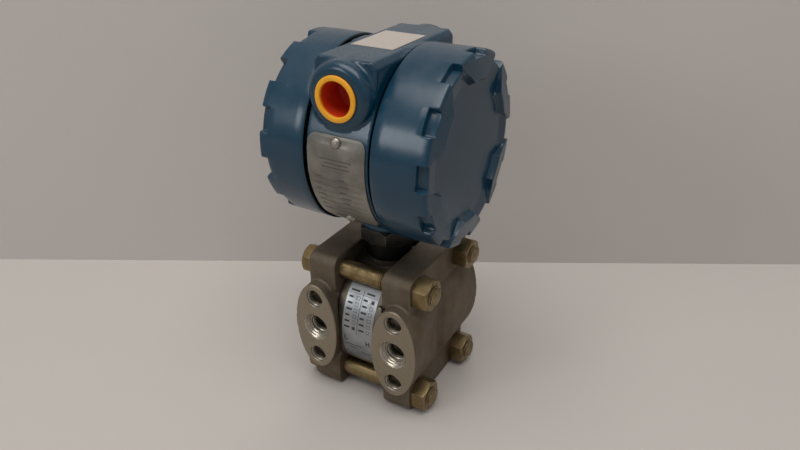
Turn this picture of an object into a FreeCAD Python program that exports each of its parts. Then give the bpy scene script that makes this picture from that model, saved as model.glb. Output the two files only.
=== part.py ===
import FreeCAD, Part
import math
import os
import Sketcher

# Differential pressure transmitter: a sensor cell clamped between two cast process flanges,
# with a round electronics housing on its neck.
#
# Frame (millimetres): origin midway between the two process ports, on their machined faces.
# +X runs along the flange bolts towards the high pressure side, +Y runs back into the
# object, +Z is up. The object stands on the lower edges of its two flanges.

V = FreeCAD.Vector

SIZES = {
    # Process interface: two flange ports, each with a tapped hole above and below
    "port_pitch": 54.0,
    "port_half_width": 14.7,
    "port_half_height": 30.2,
    "port_mouth_widening": 2.6,
    "port_mouth_depth": 4.5,
    "port_thread_radius": 6.3,
    "port_thread_length": 15.0,
    "tapped_pitch": 41.3,
    "tapped_radius": 5.56,
    "tapped_depth": 16.0,
    "bracket_hole_radius": 5.25,
    # Flanges
    "flange_gap": 32.0,
    "plate_thickness": 18.3,
    "flange_half_height": 47.0,
    "plate_front": 10.0,
    "ear_reach": 10.3,
    "ear_round": 6.0,
    "boss_depth": 85.0,
    "valley_depth": 6.4,
    "valley_forward": 1.0,
    "valley_lip": 3.0,
    "valley_lip_run": 2.2,
    "front_taper": 34.0,
    "rear_rise": 9.0,
    "rear_crest_drop": 0.8,
    "passage_radius": 3.0,
    "passage_offset": 8.0,
    "cavity_radius": 20.0,
    "cavity_depth": 2.6,
    # Flange bolts and nuts
    "bolt_front": 17.3,
    "bolt_pitch_y": 52.1,
    "bolt_pitch_z": 73.3,
    "bolt_radius": 5.56,
    "bolt_thread_radius": 5.2,
    "bolt_plain_end": 11.0,
    "bolt_hole_clearance": 0.2,
    "bolt_head_flats": 15.9,
    "bolt_head_height": 7.5,
    "nut_flats": 17.5,
    "nut_height": 9.5,
    "bolt_end_past_nut": 2.6,
    # Sensor cell
    "cell_bolt_gap": 0.3,
    "cell_clearance": 0.5,
    "cell_edge": 1.2,
    "neck_radius": 14.0,
    "neck_top": 71.0,
    "neck_bore_radius": 6.5,
    "neck_bore_floor": 40.0,
    "seal_radius": 24.0,
    "seal_thickness": 3.4,
    "diaphragm_radius": 18.6,
    "diaphragm_thickness": 0.5,
    "diaphragm_recess": 1.1,
    "label_half_width": 10.5,
    "label_thickness": 0.25,
    "label_top": 29.0,
    "label_bottom": 20.0,
    "fill_plug_radius": 1.9,
    "fill_plug_height": 4.0,
    "fill_plug_sunk": 2.6,
    "fill_plug_rise": 21.0,
    "header_height": 5.0,
    "pin_radius": 0.6,
    "pin_circle": 3.6,
    "pin_height": 4.0,
    # Neck lock nut
    "lock_nut_flats": 32.0,
    "lock_nut_height": 10.0,
    "lock_nut_turn": 23.0,
    # Electronics housing
    "boss_drop": 2.25,
    "barrel_step": 5.9,
    "barrel_half_width": 18.5,
    "spigot_radius": 46.0,
    "spigot_end": 38.0,
    "spigot_wall": 5.0,
    "wall_half": 3.0,
    "boss_bottom": 61.6,
    "boss_radius": 18.5,
    "boss_chamfer": 1.5,
    "neck_clearance": 0.1,
    "boss_bore_depth": 10.5,
    "wire_hole_radius": 7.0,
    "conduit_below_top": 17.75,
    "conduit_hub_radius": 18.0,
    "conduit_hub_round": 4.5,
    "conduit_set_back": 2.55,
    "conduit_hub_length": 16.0,
    "conduit_bore_radius": 10.4,
    "conduit_bore_depth": 20.0,
    "conduit_passage_radius": 7.0,
    "conduit_passage_depth": 34.0,
    "top_rise": 0.05,
    "top_half_width": 15.5,
    "top_slope_run": 2.7,
    "top_slope_drop": 3.2,
    "top_set_back": 8.0,
    "post_radius": 4.0,
    # Covers
    "cover_gap": 1.5,
    "cover_wall": 7.0,
    "cover_edge": 0.8,
    "cover_mouth_depth": 1.8,
    "cover_thread_clearance": 0.08,
    "cover_bore_step": 2.6,
    "cover_corner": 3.0,
    "cover_end_gap": 0.6,
    "cover_shoulder": 6.0,
    "cover_face_wall": 4.0,
    "lug_depth": 3.7,
    "lug_count": 12,
    "recess_angle": 14.5,
    "high_recess_start": 44.0,
    "high_lug_end": 49.0,
    "high_face": 53.0,
    "high_recess_turn": 26.25,
    "low_recess_start": 42.0,
    "low_lug_end": 46.6,
    "low_face": 50.4,
    "low_recess_turn": 17.75,
    "ring_thickness": 2.9,
    "ring_clearance": 0.1,
    "ring_side_gap": 0.05,
    "ring_mouth_gap": 0.3,
    # Conduit fittings
    "protector_flange_radius": 11.7,
    "protector_flange": 1.3,
    "protector_clearance": 0.08,
    "protector_wall": 1.3,
    "protector_length": 17.0,
    "plug_length": 14.0,
    "plug_socket_flats": 9.5,
    "plug_socket_depth": 8.0,
    "plug_set_back": 1.0,
    # Plates and labels
    "plate_half_width": 17.2,
    "plate_top_angle": 17.4,
    "plate_bottom_angle": 45.7,
    "plate_sheet": 0.8,
    "plate_corner": 5.0,
    "drive_screw_head_radius": 3.0,
    "drive_screw_head_height": 1.7,
    "drive_screw_radius": 1.3,
    "drive_screw_length": 6.0,
    "drive_screw_hole_gap": 0.1,
    "upper_screw_angle": 13.5,
    "lower_screw_angle": -41.0,
    "top_label_half_width": 12.5,
    "top_label_forward": 16.35,
    "top_label_length": 35.0,
    "top_label_thickness": 0.25,
    # Zero and span adjusters
    "adjuster_side": 9.5,
    "adjuster_rise": 9.0,
    "adjuster_head_radius": 3.4,
    "adjuster_head_height": 2.6,
    "adjuster_recess": 1.6,
    "adjuster_shaft_radius": 2.0,
    "adjuster_reach": 16.0,
    "adjuster_clearance": 0.08,
    "slot_width": 1.0,
    "slot_depth": 1.2,
    # Electronics
    "block_gap": 6.0,
    "block_seat": 12.0,
    "block_thickness": 8.0,
    "block_ridge_height": 5.0,
    "block_ridge_half": 1.0,
    "block_ridge_reach": 9.0,
    "terminal_pitch": 13.0,
    "terminal_radius": 4.2,
    "terminal_height": 3.0,
    "fixing_edge": 7.0,
    "fixing_radius": 2.0,
    "fixing_head_radius": 3.6,
    "fixing_head_height": 2.4,
    "board_gap": 4.0,
    "board_thickness": 1.6,
    "board_seat": 14.0,
    "board_spacing": 10.0,
    "standoff_radius": 3.2,
    "standoff_edge": 6.0,
    "board_screw_radius": 1.5,
    "board_screw_head_radius": 2.9,
    "pot_size": 8.0,
    "component_length": 14.0,
    "component_width": 9.0,
    "component_height": 5.0,
    "component_gap": 6.0,
    # Vent valves
    "seat_flats": 14.3,
    "seat_hex_height": 7.0,
    "seat_thread_length": 12.0,
    "stem_radius": 3.1,
    "stem_clearance": 0.08,
    "stem_length": 20.0,
    "stem_showing": 3.0,
    "stem_head_flats": 8.0,
    "stem_head_height": 6.0,
}


class Size:
    """A number that keeps the spreadsheet expression it comes from."""

    def __init__(self, number, text=None):
        self.number = float(number)
        self.text = text if text is not None else repr(self.number)

    def combine(self, other, sign, number):
        return Size(number, f"({self.text} {sign} {as_size(other).text})")

    def __add__(self, other):
        return self.combine(other, "+", self.number + float(other))

    def __radd__(self, other):
        return as_size(other) + self

    def __sub__(self, other):
        return self.combine(other, "-", self.number - float(other))

    def __rsub__(self, other):
        return as_size(other) - self

    def __mul__(self, other):
        return self.combine(other, "*", self.number * float(other))

    def __rmul__(self, other):
        return as_size(other) * self

    def __truediv__(self, other):
        return self.combine(other, "/", self.number / float(other))

    def __neg__(self):
        return Size(-self.number, f"(-1 * {self.text})")

    def __float__(self):
        return self.number


def as_size(value):
    return value if isinstance(value, Size) else Size(value)


def cos(angle):
    angle = as_size(angle)
    return Size(math.cos(math.radians(angle.number)), f"cos({angle.text})")


def sin(angle):
    angle = as_size(angle)
    return Size(math.sin(math.radians(angle.number)), f"sin({angle.text})")


def sqrt(value):
    value = as_size(value)
    return Size(math.sqrt(value.number), f"sqrt({value.text})")


def make_sheet(doc):
    """Write every driving size to the spreadsheet, each under its alias."""
    sheet = doc.addObject("Spreadsheet::Sheet", "sizes")
    for row, (alias, value) in enumerate(SIZES.items(), start=1):
        sheet.set(f"A{row}", alias.replace("_", " "))
        sheet.set(f"B{row}", str(value))
        sheet.setAlias(f"B{row}", alias)
    doc.recompute()
    return sheet


class Dimensions:
    """Attribute access to the sizes in the sheet."""

    def __getattr__(self, alias):
        return Size(SIZES[alias], f"sizes.{alias}")


doc = FreeCAD.newDocument("differential_pressure_transmitter")
sheet = make_sheet(doc)
d = Dimensions()

# Places that several sub-parts share
centre_y = d.bolt_front + d.bolt_pitch_y / 2
port_x = d.port_pitch / 2
inner_face = d.flange_gap / 2
outer_face = inner_face + d.plate_thickness
bolt_high = d.bolt_pitch_z / 2
bolt_diagonal = sqrt(d.bolt_pitch_y * d.bolt_pitch_y + d.bolt_pitch_z * d.bolt_pitch_z) / 2
cell_radius = bolt_diagonal - d.bolt_radius - d.cell_bolt_gap
barrel_radius = d.spigot_radius + d.barrel_step
chamber_radius = d.spigot_radius - d.spigot_wall
cover_radius = d.spigot_radius + d.cover_wall
mouth_radius = d.spigot_radius + d.ring_clearance + d.ring_thickness + d.ring_mouth_gap
block_radius = chamber_radius - d.block_gap
fixing_offset = block_radius - d.fixing_edge
board_radius = chamber_radius - d.board_gap
axis_z = d.boss_bottom + d.boss_drop + barrel_radius
top_z = axis_z + barrel_radius + d.top_rise
conduit_z = axis_z + barrel_radius - d.conduit_below_top
conduit_reach = barrel_radius - d.conduit_set_back
hub_front = centre_y - conduit_reach
hub_rear = centre_y + conduit_reach
cover_start = d.barrel_half_width + d.cover_gap
bolt_rear = d.bolt_front + d.bolt_pitch_y
BOLT_PLACES = [(d.bolt_front, bolt_high), (d.bolt_front, -bolt_high),
               (bolt_rear, bolt_high), (bolt_rear, -bolt_high)]

TURN = {
    "X": FreeCAD.Rotation(V(0, 1, 0), 90),
    "Y": FreeCAD.Rotation(V(1, 0, 0), -90),
    "-Y": FreeCAD.Rotation(V(1, 0, 0), 90),
    "Z": FreeCAD.Rotation(),
}


# ---------------------------------------------------------------- building helpers

def bind(item, **sizes):
    """Bind properties to their expressions; Place_x and the like set the placement."""
    for name, value in sizes.items():
        path = name.replace("Place_", "Placement.Base.")
        item.setExpression(path, as_size(value).text)


def place(item, base, rotation=None):
    if rotation is not None:
        item.Placement = FreeCAD.Placement(V(0, 0, 0), rotation)
    bind(item, Place_x=base[0], Place_y=base[1], Place_z=base[2])
    return item


def cylinder(name, radius, length, base, axis="X"):
    item = doc.addObject("Part::Cylinder", name)
    bind(item, Radius=radius, Height=length)
    return place(item, base, TURN[axis])


def cone(name, radius_1, radius_2, length, base, axis="X"):
    item = doc.addObject("Part::Cone", name)
    bind(item, Radius1=radius_1, Radius2=radius_2, Height=length)
    return place(item, base, TURN[axis])


def torus(name, radius, tube, base, axis="X"):
    item = doc.addObject("Part::Torus", name)
    bind(item, Radius1=radius, Radius2=tube)
    return place(item, base, TURN[axis])


def box(name, low, high):
    item = doc.addObject("Part::Box", name)
    bind(item, Length=high[0] - low[0], Width=high[1] - low[1], Height=high[2] - low[2])
    return place(item, low)


def hexagon(name, flats, length, base, axis="X", turn=0.0):
    """A six-sided prism, measured across its flats."""
    item = doc.addObject("Part::Prism", name)
    item.Polygon = 6
    bind(item, Circumradius=flats / 2 / cos(30), Height=length)
    rotation = TURN[axis].multiply(FreeCAD.Rotation(V(0, 0, 1), float(turn)))
    return place(item, base, rotation)


def fuse(name, items):
    item = doc.addObject("Part::MultiFuse", name)
    item.Shapes = items
    item.Refine = True
    return item


def cut(name, base, tools):
    tool = tools[0] if len(tools) == 1 else fuse(name + "_tools", tools)
    item = doc.addObject("Part::Cut", name)
    item.Base = base
    item.Tool = tool
    item.Refine = True
    return item


def common(name, first, second):
    item = doc.addObject("Part::MultiCommon", name)
    item.Shapes = [first, second]
    return item


def group(name, items):
    """Identical loose pieces that share one node."""
    item = doc.addObject("Part::Compound", name)
    item.Links = items
    return item


def origin_plane(body, role):
    return [item for item in body.Origin.OriginFeatures if item.Role == role][0]


def pin_point(sketch, geometry, end, point):
    """Fix one end of a sketch edge by its distances from the sketch origin."""
    for kind, value in (("DistanceX", as_size(point[0])), ("DistanceY", as_size(point[1]))):
        if value.number < 0:
            rule = Sketcher.Constraint(kind, geometry, end, -1, 1, -value.number)
            text = (-value).text
        else:
            rule = Sketcher.Constraint(kind, -1, 1, geometry, end, value.number)
            text = value.text
        index = sketch.addConstraint(rule)
        sketch.setExpression(f"Constraints[{index}]", text)


def outline_sketch(body, plane, points):
    """A closed outline of straight edges through the given points."""
    sketch = body.newObject("Sketcher::SketchObject", body.Name + "_outline")
    sketch.AttachmentSupport = [(origin_plane(body, plane), "")]
    sketch.MapMode = "FlatFace"
    count = len(points)
    ends = [V(float(u), float(v), 0) for u, v in points]
    edges = [sketch.addGeometry(Part.LineSegment(ends[i], ends[(i + 1) % count]))
             for i in range(count)]
    for i in range(count):
        following = edges[(i + 1) % count]
        sketch.addConstraint(Sketcher.Constraint("Coincident", edges[i], 2, following, 1))
    for i in range(count):
        pin_point(sketch, edges[i], 1, points[i])
    return sketch


def turned(name, points, base, rotation=None):
    """A body turned from a half profile of (distance along X, radius) points."""
    body = doc.addObject("PartDesign::Body", name)
    sketch = outline_sketch(body, "XY_Plane", points)
    feature = body.newObject("PartDesign::Revolution", name + "_turning")
    feature.Profile = sketch
    feature.ReferenceAxis = (sketch, ["H_Axis"])
    feature.Angle = 360
    place(body, base, rotation)
    return body


def padded(name, plane, points, length, base=(0, 0, 0), midplane=False):
    """A body padded from an outline on one of its origin planes."""
    body = doc.addObject("PartDesign::Body", name)
    sketch = outline_sketch(body, plane, points)
    feature = body.newObject("PartDesign::Pad", name + "_pad")
    feature.Profile = sketch
    feature.Midplane = midplane
    bind(feature, Length=length)
    place(body, base)
    return body


def round_edges(body, name, radius, wanted):
    """Fillet the edges of a body's tip whose middle point passes the test."""
    doc.recompute()
    tip = body.Tip
    names = []
    for number, edge in enumerate(tip.Shape.Edges, start=1):
        middle = edge.valueAt((edge.FirstParameter + edge.LastParameter) / 2)
        if wanted(edge, middle):
            names.append(f"Edge{number}")
    feature = body.newObject("PartDesign::Fillet", name)
    feature.Base = (tip, names)
    bind(feature, Radius=radius)
    body.Tip = feature
    return feature


def chamfered_hexagon(name, flats, length, base, turn=0.0, axis="X", both=False):
    """A hexagon whose outer corners are turned off at about 30 degrees."""
    prism = hexagon(name + "_prism", flats, length, base, axis, turn)
    corner = flats / 2 / cos(30)
    slope = (corner - flats / 2) * 0.9
    points = [(0, 0), (0, corner), (length - slope, corner), (length, flats / 2), (length, 0)]
    if both:
        points[1:2] = [(0, flats / 2), (slope, corner)]
    rotations = {"X": FreeCAD.Rotation(), "Y": FreeCAD.Rotation(V(0, 0, 1), 90),
                 "Z": FreeCAD.Rotation(V(0, 1, 0), -90), "-X": FreeCAD.Rotation(V(0, 0, 1), 180)}
    turning = turned(name + "_corners", points, base, rotations[axis])
    return common(name, prism, turning)


# ---------------------------------------------------------------- process flanges

def flange_plate():
    """The cast plate with a bolt ear at each corner."""
    front, rear = d.plate_front, 2 * centre_y - d.plate_front
    ear_front = d.bolt_front - d.ear_reach
    ear_rear = bolt_rear + d.ear_reach
    high = d.flange_half_height
    low = bolt_high - d.ear_reach
    neck = low - (front - ear_front)
    half = [(ear_front, high), (ear_front, low), (front, neck)]
    points = half + [(y, -z) for y, z in reversed(half)]
    other = [(ear_rear, -high), (ear_rear, -low), (rear, -neck)]
    points += other + [(y, -z) for y, z in reversed(other)]
    plate = padded("flange_plate", "YZ_Plane", points, d.plate_thickness, (inner_face, 0, 0))
    corner = float(high) - 0.01

    def is_corner(edge, middle):
        along_x = abs(edge.tangentAt(edge.FirstParameter).x) > 0.99
        at_end = middle.y < float(ear_front) + 0.01 or middle.y > float(ear_rear) - 0.01
        return along_x and at_end and abs(middle.z) > corner

    round_edges(plate, "flange_ear_corners", d.ear_round, is_corner)
    return plate


def flange_boss():
    """The oval port boss, thinner at the middle of the flange than at its two ends."""
    oval = doc.addObject("Part::Ellipse", "boss_oval")
    bind(oval, MajorRadius=d.port_half_height, MinorRadius=d.port_half_width)
    place(oval, (port_x, 0, 0), FreeCAD.Rotation(V(0, 0, 1), V(0, 0, 0), V(0, -1, 0), "XZY"))
    boss = doc.addObject("Part::Extrusion", "boss_bar")
    boss.Base = oval
    boss.DirMode = "Custom"
    boss.Dir = V(0, 1, 0)
    bind(boss, LengthFwd=d.boss_depth)
    boss.Solid = True
    crest = port_x + d.port_half_width
    beyond = crest + d.valley_depth
    valley = centre_y - d.valley_forward
    rear_end = valley + d.rear_rise * 2
    points = [(beyond, valley - d.front_taper), (crest, valley - d.front_taper),
              (crest - d.valley_depth, valley),
              (crest - d.valley_lip, valley + d.valley_lip_run),
              (crest - d.rear_crest_drop, valley + d.rear_rise),
              (crest, rear_end), (beyond, rear_end)]
    groove = padded("boss_valley", "XY_Plane", points, d.port_half_height * 2.1, midplane=True)
    return cut("boss_form", boss, [groove])


def port_bores(prefix, face, direction, hole_radius):
    """Threaded bore and two tapped holes in one face of the boss; direction is +1 or -1."""
    axis = "Y" if direction > 0 else "-Y"
    depth = d.port_mouth_depth + d.port_thread_length
    passage_end = centre_y - direction * d.passage_offset
    passage = (passage_end - face) * direction + d.passage_radius
    tools = [
        cylinder(prefix + "_passage", d.passage_radius, passage, (port_x, face, 0), axis),
        cylinder(prefix + "_thread", d.port_thread_radius, depth, (port_x, face, 0), axis),
        cylinder(prefix + "_cross", d.passage_radius, port_x - inner_face,
                 (inner_face, passage_end, 0), "X"),
    ]
    for word, z in (("upper", d.tapped_pitch / 2), ("lower", -d.tapped_pitch / 2)):
        tools.append(cylinder(f"{prefix}_{word}_hole", hole_radius, d.tapped_depth,
                              (port_x, face, z), axis))
    return tools


def process_flanges():
    """Both flanges: the high side is cut from plate and boss, the low side mirrors it."""
    body = fuse("flange_casting", [flange_plate(), flange_boss()])
    tools = port_bores("process_port", as_size(0), 1, d.tapped_radius)
    tools += port_bores("vent_port", d.boss_depth, -1, d.bracket_hole_radius)
    tools.append(cone("process_port_mouth", d.port_thread_radius + d.port_mouth_widening,
                      d.port_thread_radius, d.port_mouth_depth, (port_x, 0, 0), "Y"))
    tools.append(cylinder("cell_clearance_bore", cell_radius + d.cell_clearance, inner_face,
                          (0, centre_y, 0)))
    tools.append(cylinder("flange_cavity", d.cavity_radius, d.cavity_depth,
                          (inner_face, centre_y, 0)))
    groove_out = cylinder("seal_groove_outside", d.seal_radius + d.seal_thickness / 2 + 0.1,
                          d.seal_thickness, (inner_face, centre_y, 0))
    groove_in = cylinder("seal_groove_inside", d.seal_radius - d.seal_thickness / 2 - 0.1,
                         d.seal_thickness, (inner_face, centre_y, 0))
    tools.append(cut("seal_groove", groove_out, [groove_in]))
    for number, (y, z) in enumerate(BOLT_PLACES, start=1):
        tools.append(cylinder(f"bolt_hole_{number}", d.bolt_radius + d.bolt_hole_clearance,
                              d.plate_thickness, (inner_face, y, z)))
    high = cut("process_flange_high", body, tools)
    low = doc.addObject("Part::Mirroring", "process_flange_low")
    low.Source = high
    low.Normal = V(1, 0, 0)
    return [high, low]


def flange_bolts():
    """Four bolts with their heads on the low side, threaded where they meet the nuts."""
    end = outer_face + d.nut_height + d.bolt_end_past_nut
    step = d.bolt_radius - d.bolt_thread_radius
    head = -outer_face - d.bolt_head_height
    bolts = []
    for number, (y, z) in enumerate(BOLT_PLACES, start=1):
        points = [(-outer_face, 0), (-outer_face, d.bolt_radius),
                  (d.bolt_plain_end, d.bolt_radius),
                  (d.bolt_plain_end + step, d.bolt_thread_radius),
                  (end - 1, d.bolt_thread_radius), (end, d.bolt_thread_radius - 1), (end, 0)]
        shank = turned(f"bolt_shank_{number}", points, (0, y, z))
        top = chamfered_hexagon(f"bolt_head_{number}", d.bolt_head_flats, d.bolt_head_height,
                                (head, y, z), both=True)
        bolts.append(fuse(f"flange_bolt_{number}", [shank, top]))
    return group("flange_bolts", bolts)


def flange_nuts():
    nuts = []
    for number, (y, z) in enumerate(BOLT_PLACES, start=1):
        blank = chamfered_hexagon(f"nut_blank_{number}", d.nut_flats, d.nut_height,
                                  (outer_face, y, z))
        hole = cylinder(f"nut_bore_{number}", d.bolt_thread_radius, d.nut_height,
                        (outer_face, y, z))
        nuts.append(cut(f"flange_nut_{number}", blank, [hole]))
    return group("flange_nuts", nuts)


def vent_valves():
    """A threaded seat in the rear of each flange, with a stem that turns to open it."""
    thread_start = d.boss_depth - d.seat_thread_length
    hex_end = d.boss_depth + d.seat_hex_height
    bore = d.stem_radius + d.stem_clearance
    stem_end = hex_end + d.stem_showing
    stem_start = stem_end - d.stem_length
    items = []
    for side, x in (("low", -port_x), ("high", port_x)):
        thread = cylinder(f"seat_thread_{side}", d.port_thread_radius, d.seat_thread_length,
                          (x, thread_start, 0), "Y")
        head = chamfered_hexagon(f"seat_hex_{side}", d.seat_flats, d.seat_hex_height,
                                 (x, d.boss_depth, 0), 30, "Y")
        blank = fuse(f"seat_blank_{side}", [thread, head])
        hole = cylinder(f"seat_bore_{side}", bore, d.seat_thread_length + d.seat_hex_height,
                        (x, thread_start, 0), "Y")
        items.append(cut(f"vent_seat_{side}", blank, [hole]))
        stem = cylinder(f"stem_shank_{side}", d.stem_radius, d.stem_length,
                        (x, stem_start, 0), "Y")
        knob = chamfered_hexagon(f"stem_head_{side}", d.stem_head_flats, d.stem_head_height,
                                 (x, stem_end, 0), 30, "Y", both=True)
        items.append(fuse(f"vent_stem_{side}", [stem, knob]))
    return items


# ---------------------------------------------------------------- sensor cell

def sensor_cell():
    """The round cell between the flanges, with the neck that carries the housing."""
    edge = d.cell_edge
    radius = cell_radius
    points = [(-inner_face, 0), (-inner_face, radius - edge), (edge - inner_face, radius),
              (inner_face - edge, radius), (inner_face, radius - edge), (inner_face, 0)]
    drum = turned("cell_drum", points, (0, centre_y, 0))
    neck = cylinder("cell_neck", d.neck_radius, d.neck_top, (0, centre_y, 0), "Z")
    body = fuse("cell_blank", [drum, neck])
    recess = d.diaphragm_radius + 0.6
    tools = [
        cylinder("neck_bore", d.neck_bore_radius, d.neck_top - d.neck_bore_floor,
                 (0, centre_y, d.neck_bore_floor), "Z"),
        cylinder("diaphragm_recess_high", recess, d.diaphragm_recess,
                 (inner_face - d.diaphragm_recess, centre_y, 0)),
        cylinder("diaphragm_recess_low", recess, d.diaphragm_recess,
                 (-inner_face, centre_y, 0)),
        cylinder("fill_plug_hole", d.fill_plug_radius, d.fill_plug_height, fill_plug_place(),
                 "-Y"),
    ]
    return cut("sensor_cell", body, tools)


def diaphragms():
    """Thin isolating discs with pressed rings, one in each face of the cell."""
    items = []
    sheet_size = d.diaphragm_thickness
    radius = d.diaphragm_radius
    ring = radius / 4
    for side, sign in (("low", 180), ("high", 0)):
        points = [(0, 0), (0, radius), (sheet_size, radius)]
        for step in (3, 2, 1):
            points += [(sheet_size, ring * step + ring / 2), (sheet_size + 0.3, ring * step)]
        points.append((sheet_size, 0))
        seat = inner_face - d.diaphragm_recess
        base_x = seat if side == "high" else -seat
        items.append(turned(f"isolating_diaphragm_{side}", points, (base_x, centre_y, 0),
                            FreeCAD.Rotation(V(0, 0, 1), sign)))
    return items


def process_seals():
    """Ring seals between the cell and the flanges."""
    half = d.seal_thickness / 2
    return [torus("process_seal_high", d.seal_radius, half, (inner_face + half, centre_y, 0)),
            torus("process_seal_low", d.seal_radius, half, (-inner_face - half, centre_y, 0))]


def cell_label():
    """A thin label wrapped round the front of the cell."""
    wide = d.label_half_width
    outside = cylinder("label_outside", cell_radius + d.label_thickness, wide * 2,
                       (-wide, centre_y, 0))
    inside = cylinder("label_inside", cell_radius, wide * 2, (-wide, centre_y, 0))
    shell = cut("label_shell", outside, [inside])
    window = box("label_window", (-wide, centre_y - cell_radius - 1, -d.label_bottom),
                 (wide, centre_y, d.label_top))
    return common("cell_label", shell, window)


def fill_plug_place():
    """Inner end of the oil filling plug, on the front of the cell beside the label."""
    depth = sqrt(cell_radius * cell_radius - d.fill_plug_rise * d.fill_plug_rise)
    x = d.label_half_width + d.fill_plug_radius + 0.6
    return (x, centre_y - depth + d.fill_plug_sunk, d.fill_plug_rise)


def cell_fill_plug():
    x, y, z = fill_plug_place()
    return cylinder("cell_fill_plug", d.fill_plug_radius, d.fill_plug_height, (x, y, z), "-Y")


def header():
    """The glass sealed connector inside the neck."""
    base = d.neck_top - d.header_height - d.pin_height
    disc = cylinder("header_disc", d.neck_bore_radius, d.header_height, (0, centre_y, base), "Z")
    pins = []
    for number in range(6):
        angle = 60 * number
        pins.append(cylinder(f"header_pin_{number + 1}", d.pin_radius,
                             d.header_height + d.pin_height,
                             (d.pin_circle * cos(angle), centre_y + d.pin_circle * sin(angle),
                              base), "Z"))
    return fuse("cell_header", [disc] + pins)


def neck_lock_nut():
    """The nut that locks the housing on the neck."""
    base = d.boss_bottom - d.lock_nut_height
    blank = chamfered_hexagon("lock_nut_blank", d.lock_nut_flats, d.lock_nut_height,
                              (0, centre_y, base), d.lock_nut_turn + 30, "Z", both=True)
    hole = cylinder("lock_nut_bore", d.neck_radius, d.lock_nut_height, (0, centre_y, base), "Z")
    return cut("neck_lock_nut", blank, [hole])


# ---------------------------------------------------------------- electronics housing

def conduit_hub(name, rim, inward):
    """A round hub with a rounded rim; inward is +1 for the front hub and -1 for the rear."""
    axis = "Y" if inward > 0 else "-Y"
    radius, rounding = d.conduit_hub_radius, d.conduit_hub_round
    length = d.conduit_hub_length
    shoulder = rim + inward * rounding
    z = conduit_z
    return [
        cylinder(name + "_barrel", radius, length, (0, shoulder, z), axis),
        cylinder(name + "_face", radius - rounding, rounding * 2, (0, rim, z), axis),
        torus(name + "_rim", radius - rounding, rounding, (0, shoulder, z), axis),
    ]


def conduit_bores(name, rim, inward):
    axis = "Y" if inward > 0 else "-Y"
    z = conduit_z
    return [
        cylinder(name + "_bore", d.conduit_bore_radius, d.conduit_bore_depth, (0, rim, z), axis),
        cylinder(name + "_passage", d.conduit_passage_radius, d.conduit_passage_depth,
                 (0, rim, z), axis),
    ]


def top_pad():
    """The flat-topped bridge between the two hubs, with sloping sides."""
    wide = d.top_half_width + d.top_slope_run
    side = top_z - d.top_slope_drop
    points = [(-wide, axis_z), (-wide, side), (-d.top_half_width, top_z),
              (d.top_half_width, top_z), (wide, side), (wide, axis_z)]
    return padded("top_pad", "XZ_Plane", points, (conduit_reach - d.top_set_back) * 2,
                  (0, centre_y, 0), midplane=True)


def adjuster_places():
    return [("zero", axis_z + d.adjuster_rise), ("span", axis_z - d.adjuster_rise)]


def adjuster_surface():
    """Where the barrel's front lies at the height of the adjusters."""
    radius = barrel_radius
    return centre_y - sqrt(radius * radius - d.adjuster_rise * d.adjuster_rise)


def drive_screw_place(angle, radius):
    """A point on the barrel's front at an angle above the horizontal."""
    return (0, centre_y - radius * cos(angle), axis_z + radius * sin(angle))


def radial(angle):
    """Turn a cylinder from +Z so that it points into the barrel at the given angle."""
    return FreeCAD.Rotation(V(1, 0, 0), -90 - float(angle))


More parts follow.
